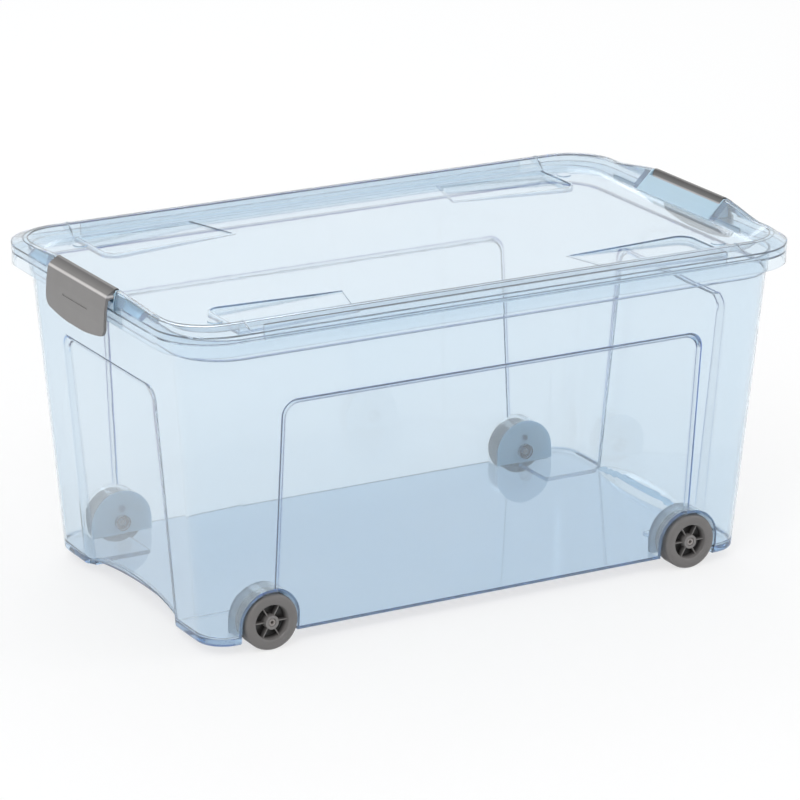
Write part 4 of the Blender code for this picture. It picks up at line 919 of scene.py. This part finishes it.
def make_latch(name, side, sizes):
    latch = latch_prism(name, side, False, LATCH_HALF_WIDTH)
    join(latch, latch_prism("catch", side, True, CATCH_HALF_WIDTH))
    combine(latch, latch_outline(), "INTERSECT")
    far = LATCH_HALF_WIDTH + OVERSHOOT
    cut(latch, rod("bar_room", HINGE_BAR_RADIUS + GAP, side * HINGE_X, HINGE_Z, -far, far, 32),
        end_box("clip_mouth", side, HINGE_X - CLIP_MOUTH_HALF, HINGE_X + CLIP_MOUTH_HALF, far,
                LATCH_FOOT_Z - 2 * OVERSHOOT, HINGE_Z),
        end_box("groove", side, LATCH_FACE_X - GROOVE_DEPTH, LATCH_FACE_X + OVERSHOOT, GROOVE_HALF_LENGTH,
                GROOVE_Z - GROOVE_HALF_HEIGHT, GROOVE_Z + GROOVE_HALF_HEIGHT))
    return soft_edges(latch, sizes.edge_softness * LATCH_SOFTNESS)


# ---------------- wheels and axle pins
def turned(name, profile, steps, side_x, side_y, face_y):
    """Profile of (radius, depth behind the outer face) points turned about the axle."""
    shape = bmesh.new()
    centre = Vector((side_x * WHEEL_AT_X, 0.0, AXLE_Z))
    rings = []
    for step in range(steps):
        angle = 2 * math.pi * step / steps
        spin = Vector((math.cos(angle), 0.0, math.sin(angle)))
        rings.append([shape.verts.new(centre + spin * radius + Vector((0.0, side_y * (face_y - depth), 0.0)))
                      for radius, depth in profile])
    count = len(profile)
    for index in range(count):
        following = (index + 1) % count
        if profile[index][0] < WELD and profile[following][0] < WELD:
            continue
        for ring, after in zip(rings, rings[1:] + rings[:1]):
            shape.faces.new((ring[index], ring[following], after[following], after[index]))
    bmesh.ops.remove_doubles(shape, verts=shape.verts, dist=WELD)
    made = mesh_object(name, shape)
    made.data.shade_smooth()
    made.data.set_sharp_from_angle(angle=TURNED_SHARP_FROM)
    return made


def wheel_profile(tread_radius):
    """Half section of a wheel as (radius, depth behind its outer face)."""
    head_seat = HUB_RECESS + PIN_HEAD_SINK + PIN_HEAD_LENGTH + GAP
    web_back = DISH_DEPTH + WEB_THICKNESS
    ring = []
    for end_radius, drop, fractions in ((DISH_RADIUS, RING_DROP / 2, (1.0, 0.9, 0.75, 0.55, 0.3)),
                                        (tread_radius, RING_DROP, (0.0, 0.25, 0.5, 0.7, 0.84, 0.94, 1.0))):
        for fraction in fractions:
            ring.append((RING_CREST_RADIUS + fraction * (end_radius - RING_CREST_RADIUS),
                         drop * (1 - math.sqrt(1 - fraction ** 2))))
    hub = soften([(PIN_RADIUS + GAP, WHEEL_WIDTH), (PIN_RADIUS + GAP, head_seat),
                  (PIN_HEAD_RADIUS + GAP, head_seat), (PIN_HEAD_RADIUS + GAP, HUB_RECESS),
                  (HUB_RADIUS, HUB_RECESS), (HUB_RADIUS + 0.6 * MM, DISH_DEPTH),
                  (DISH_RADIUS - DISH_DRAFT, DISH_DEPTH), ring[0]], SECTION_ROUNDING)
    back = soften([(tread_radius, WHEEL_WIDTH - 2 * MM), (tread_radius, WHEEL_WIDTH),
                   (BACK_HOLLOW_RADIUS, WHEEL_WIDTH), (BACK_HOLLOW_RADIUS - DISH_DRAFT, web_back),
                   (HUB_BACK_RADIUS, web_back), (HUB_BACK_RADIUS, WHEEL_WIDTH)], BACK_ROUNDING)
    return hub[:-1] + ring + back


def wheel_ribs_tree():
    """Geometry Nodes: spokes in the wheel's dish and fine ribs round its tread, joined to the turned wheel."""
    tree = bpy.data.node_groups.new("wheel_ribs", "GeometryNodeTree")
    for name, kind in (("Geometry", "Geometry"), ("Spokes", "Int"), ("Spoke Size", "Vector"),
                       ("Spoke Middle", "Vector"), ("Tread Ribs", "Int"), ("Rib Size", "Vector"),
                       ("Rib Middle", "Vector"), ("Axle", "Vector"), ("Plastic", "Material")):
        tree.interface.new_socket(name, in_out="INPUT", socket_type=f"NodeSocket{kind}")
    tree.interface.new_socket("Geometry", in_out="OUTPUT", socket_type="NodeSocketGeometry")
    given = add_node(tree, "NodeGroupInput").outputs
    joined = add_node(tree, "GeometryNodeJoinGeometry")
    tree.links.new(given["Geometry"], joined.inputs["Geometry"])
    for count, bar in (("Spokes", "Spoke"), ("Tread Ribs", "Rib")):
        cube = add_node(tree, "GeometryNodeMeshCube", Size=given[f"{bar} Size"])
        placed = add_node(tree, "GeometryNodeTransform", Geometry=cube.outputs["Mesh"],
                          Translation=given[f"{bar} Middle"])
        points = add_node(tree, "GeometryNodePoints", Count=given[count], Position=given["Axle"])
        index = add_node(tree, "GeometryNodeInputIndex")
        step = calculate(tree, "DIVIDE", 2 * math.pi, given[count])
        angle = calculate(tree, "MULTIPLY", index.outputs["Index"], step)
        spin = add_node(tree, "ShaderNodeCombineXYZ", Y=angle)
        copies = add_node(tree, "GeometryNodeInstanceOnPoints", Points=points.outputs[0],
                          Instance=placed.outputs["Geometry"], Rotation=spin.outputs["Vector"])
        tree.links.new(copies.outputs["Instances"], joined.inputs["Geometry"])
    real = add_node(tree, "GeometryNodeRealizeInstances", Geometry=joined.outputs["Geometry"])
    coloured = add_node(tree, "GeometryNodeSetMaterial", Geometry=real.outputs["Geometry"],
                        Material=given["Plastic"])
    add_node(tree, "NodeGroupOutput", Geometry=coloured.outputs["Geometry"])
    return tree


def make_wheel(name, side_x, side_y, sizes, finish, tree):
    profile = wheel_profile(WHEEL_RADIUS - sizes.tread_depth)
    wheel = turned(name, profile, WHEEL_STEPS, side_x, side_y, WHEEL_FACE_Y)
    wheel.data.materials.append(finish)
    inner, outer = HUB_RADIUS - 0.6 * MM, DISH_RADIUS + 0.3 * MM
    front, back = SPOKE_RECESS, DISH_DEPTH + WEB_THICKNESS / 2
    tread_front, tread_back = RING_DROP + 0.6 * MM, WHEEL_WIDTH - 1.2 * MM
    rib_depth = 2 * sizes.tread_depth

    def middle(radius, depth):
        return radius, side_y * (WHEEL_FACE_Y - depth), 0.0

    values = {
        "Spokes": sizes.spoke_count,
        "Spoke Size": (outer - inner, back - front, sizes.spoke_thickness),
        "Spoke Middle": middle((inner + outer) / 2, (front + back) / 2),
        "Tread Ribs": sizes.tread_count,
        "Rib Size": (rib_depth, tread_back - tread_front, TREAD_RIB_WIDTH),
        "Rib Middle": middle(WHEEL_RADIUS - rib_depth / 2, (tread_front + tread_back) / 2),
        "Axle": (side_x * WHEEL_AT_X, 0.0, AXLE_Z),
        "Plastic": finish,
    }
    modifier = wheel.modifiers.new("Ribs", "NODES")
    modifier.node_group = tree
    for socket in tree.interface.items_tree:
        if socket.item_type == "SOCKET" and socket.in_out == "INPUT" and socket.name in values:
            modifier[socket.identifier] = values[socket.name]
    return settle(wheel)


def pin_profile():
    """Half section of an axle pin as (radius, depth behind its outer end)."""
    length = PIN_FACE_Y - PIN_END_Y
    return [(0.0, PIN_BORE_DEPTH), *soften(
        [(PIN_BORE_RADIUS, PIN_BORE_DEPTH), (PIN_BORE_RADIUS, 0.0), (PIN_HEAD_RADIUS, 0.0),
         (PIN_HEAD_RADIUS, PIN_HEAD_LENGTH), (PIN_RADIUS, PIN_HEAD_LENGTH), (PIN_RADIUS, length), (0.0, length)],
        PIN_ROUNDING, 3)]


# ---------------- studio floor, surroundings, lights, camera
def seen_directly(tree):
    """1 for what the camera sees, also in a reflection or through the clear plastic, and 0 for light."""
    rays = add_node(tree, "ShaderNodeLightPath").outputs
    mirrored = calculate(tree, "MAXIMUM", rays["Is Camera Ray"], rays["Is Glossy Ray"])
    return calculate(tree, "MAXIMUM", mirrored, rays["Is Transmission Ray"])


def make_floor(context):
    """White floor: painted for the light and the shadows, brightened for the camera."""
    shape = bmesh.new()
    bmesh.ops.create_grid(shape, x_segments=1, y_segments=1, size=FLOOR_HALF)
    floor = mesh_object("studio_floor", shape)
    finish, tree = new_finish("painted_studio_floor")
    colour = context.scene.clear_box_colours.floor
    paint = add_node(tree, "ShaderNodeBsdfPrincipled", Base_Color=(*colour, 1.0), Roughness=0.9, IOR=1.3)
    white = add_node(tree, "ShaderNodeEmission", Color=WHITE, Strength=1.0)
    share = calculate(tree, "MULTIPLY", seen_directly(tree), WHITE_SHARE)
    mixed = add_node(tree, "ShaderNodeMixShader", i0=share, i1=paint.outputs["BSDF"],
                     i2=white.outputs["Emission"])
    add_node(tree, "ShaderNodeOutputMaterial", Surface=mixed.outputs["Shader"])
    floor.data.materials.append(finish)


def make_world(scene):
    """White to the camera and in reflections, a little dimmer as the light on the object."""
    world = bpy.data.worlds.new("studio_surroundings")
    world.use_nodes = True
    tree = world.node_tree
    tree.nodes.clear()
    strength = remap(tree, seen_directly(tree), (0.0, 1.0), (SKY_LIGHT, 1.0))
    light = add_node(tree, "ShaderNodeBackground", Color=WHITE, Strength=strength)
    add_node(tree, "ShaderNodeOutputWorld", Surface=light.outputs["Background"])
    scene.world = world


def make_lights():
    """Large soft boxes: one over the left front, a weaker one from the right, one behind."""
    for name, place, size, watts in SOFTBOXES:
        lamp = bpy.data.lights.new(name, "AREA")
        lamp.shape = "SQUARE"
        lamp.size = size
        lamp.energy = watts
        light = bpy.data.objects.new(name, lamp)
        bpy.context.scene.collection.objects.link(light)
        light.location = place
        light.rotation_euler = (LIGHT_AIM - Vector(place)).to_track_quat("-Z", "Y").to_euler()


def make_camera(scene):
    lens = bpy.data.cameras.new("photo_camera")
    lens.lens = LENS_MM
    lens.sensor_width = SENSOR_MM
    lens.clip_end = 50.0
    camera = bpy.data.objects.new("photo_camera", lens)
    scene.collection.objects.link(camera)
    turn, lean = CAMERA_AZIMUTH, CAMERA_PITCH
    back = Vector((math.sin(turn) * math.cos(lean), -math.cos(turn) * math.cos(lean), math.sin(lean)))
    level = Vector((math.cos(turn), math.sin(turn), 0.0))
    right = level * math.cos(CAMERA_ROLL) + back.cross(level) * math.sin(CAMERA_ROLL)
    axes = Matrix((right, back.cross(right), back)).transposed()
    camera.matrix_world = Matrix.Translation(CAMERA_AT) @ axes.to_4x4()
    scene.camera = camera


# ---------------- operators and panel
class CLEARBOX_OT_tub(bpy.types.Operator):
    """Make the clear tub with its rim, panels, wheel wells and feet"""
    bl_idname = "clearbox.tub"
    bl_label = "Make Tub"

    def execute(self, context):
        tub = make_tub(context.scene.clear_box_sizes)
        dress_clear(tub, "tub", tub_skin, context)
        return {"FINISHED"}


class CLEARBOX_OT_lid(bpy.types.Operator):
    """Make the clear lid with its raised rim, ramps and hinge bars"""
    bl_idname = "clearbox.lid"
    bl_label = "Make Lid"

    def execute(self, context):
        lid = make_lid(context.scene.clear_box_sizes)
        dress_clear(lid, "lid", lid_skin, context)
        return {"FINISHED"}


class CLEARBOX_OT_latches(bpy.types.Operator):
    """Make the two grey latches"""
    bl_idname = "clearbox.latches"
    bl_label = "Make Latches"

    def execute(self, context):
        colours = context.scene.clear_box_colours
        # The latches' colour carries painted shade on the sloped top and a painted highlight along the ridge.
        finish = grained_plastic("latch_polypropylene_moulded", colours.latch, roughness=0.34, grain_mm=0.9,
                                 grain_height=0.12, painted_light_of=painted_latch_light)
        for name, side in (("latch_left", -1), ("latch_right", 1)):
            latch = make_latch(f"{name}_body", side, context.scene.clear_box_sizes)
            dress(latch, name, "warm_grey_polypropylene", finish, name)
        return {"FINISHED"}


class CLEARBOX_OT_wheels(bpy.types.Operator):
    """Make the four wheels and their axle pins"""
    bl_idname = "clearbox.wheels"
    bl_label = "Make Wheels"

    def execute(self, context):
        colours = context.scene.clear_box_colours
        sizes = context.scene.clear_box_sizes
        # The wheels' colour carries painted shade deep in the dish and painted highlights on the hub and spokes.
        finish = grained_plastic("wheel_polypropylene_moulded", colours.wheel, roughness=0.25, grain_mm=0.8,
                                 grain_height=0.1, painted_light_of=painted_wheel_light)
        pin_finish = grained_plastic("axle_acetal_moulded", colours.pin, roughness=0.3, grain_mm=0.6,
                                     grain_height=0.06)
        tree = wheel_ribs_tree()
        for side_x, side_y in each_wheel():
            place = wheel_place(side_x, side_y)
            wheel = make_wheel(f"wheel_{place}_body", side_x, side_y, sizes, finish, tree)
            dress(wheel, f"wheel_{place}", "dark_grey_polypropylene", finish, f"wheel_{place}")
            pin = turned(f"axle_{place}_pin", pin_profile(), WHEEL_STEPS // 2, side_x, side_y, PIN_FACE_Y)
            dress(pin, "tub", "light_grey_acetal", pin_finish, f"axle_{place}")
        return {"FINISHED"}


class CLEARBOX_OT_stage(bpy.types.Operator):
    """Make the studio floor, the lights, the surroundings and the camera"""
    bl_idname = "clearbox.stage"
    bl_label = "Make Studio"

    def execute(self, context):
        make_floor(context)
        make_world(context.scene)
        make_lights()
        make_camera(context.scene)
        context.scene.view_settings.view_transform = "Standard"
        cycles = context.scene.cycles
        cycles.max_bounces = cycles.transmission_bounces = cycles.glossy_bounces = WALL_BOUNCES
        cycles.diffuse_bounces = SCATTER_BOUNCES
        return {"FINISHED"}


class CLEARBOX_PT_panel(bpy.types.Panel):
    """Sizes, colours and the steps that make the box"""
    bl_idname = "CLEARBOX_PT_panel"
    bl_label = "Clear Wheeled Box"
    bl_space_type = "VIEW_3D"
    bl_region_type = "UI"
    bl_category = "Clear Box"

    def draw(self, context):
        for group in (context.scene.clear_box_sizes, context.scene.clear_box_colours):
            for name in group.__annotations__:
                self.layout.prop(group, name)
        for operator in OPERATORS:
            self.layout.operator(operator.bl_idname)


OPERATORS = (CLEARBOX_OT_tub, CLEARBOX_OT_lid, CLEARBOX_OT_latches, CLEARBOX_OT_wheels, CLEARBOX_OT_stage)
CLASSES = (ClearBoxSizes, ClearBoxColours, *OPERATORS, CLEARBOX_PT_panel)


def register():
    for item in CLASSES:
        bpy.utils.register_class(item)
    bpy.types.Scene.clear_box_sizes = bpy.props.PointerProperty(type=ClearBoxSizes)
    bpy.types.Scene.clear_box_colours = bpy.props.PointerProperty(type=ClearBoxColours)


def unregister():
    del bpy.types.Scene.clear_box_colours
    del bpy.types.Scene.clear_box_sizes
    for item in reversed(CLASSES):
        bpy.utils.unregister_class(item)


def main():
    register()
    bpy.ops.clearbox.tub()
    bpy.ops.clearbox.lid()
    bpy.ops.clearbox.latches()
    bpy.ops.clearbox.wheels()
    bpy.ops.clearbox.stage()


if __name__ == "__main__":
    main()
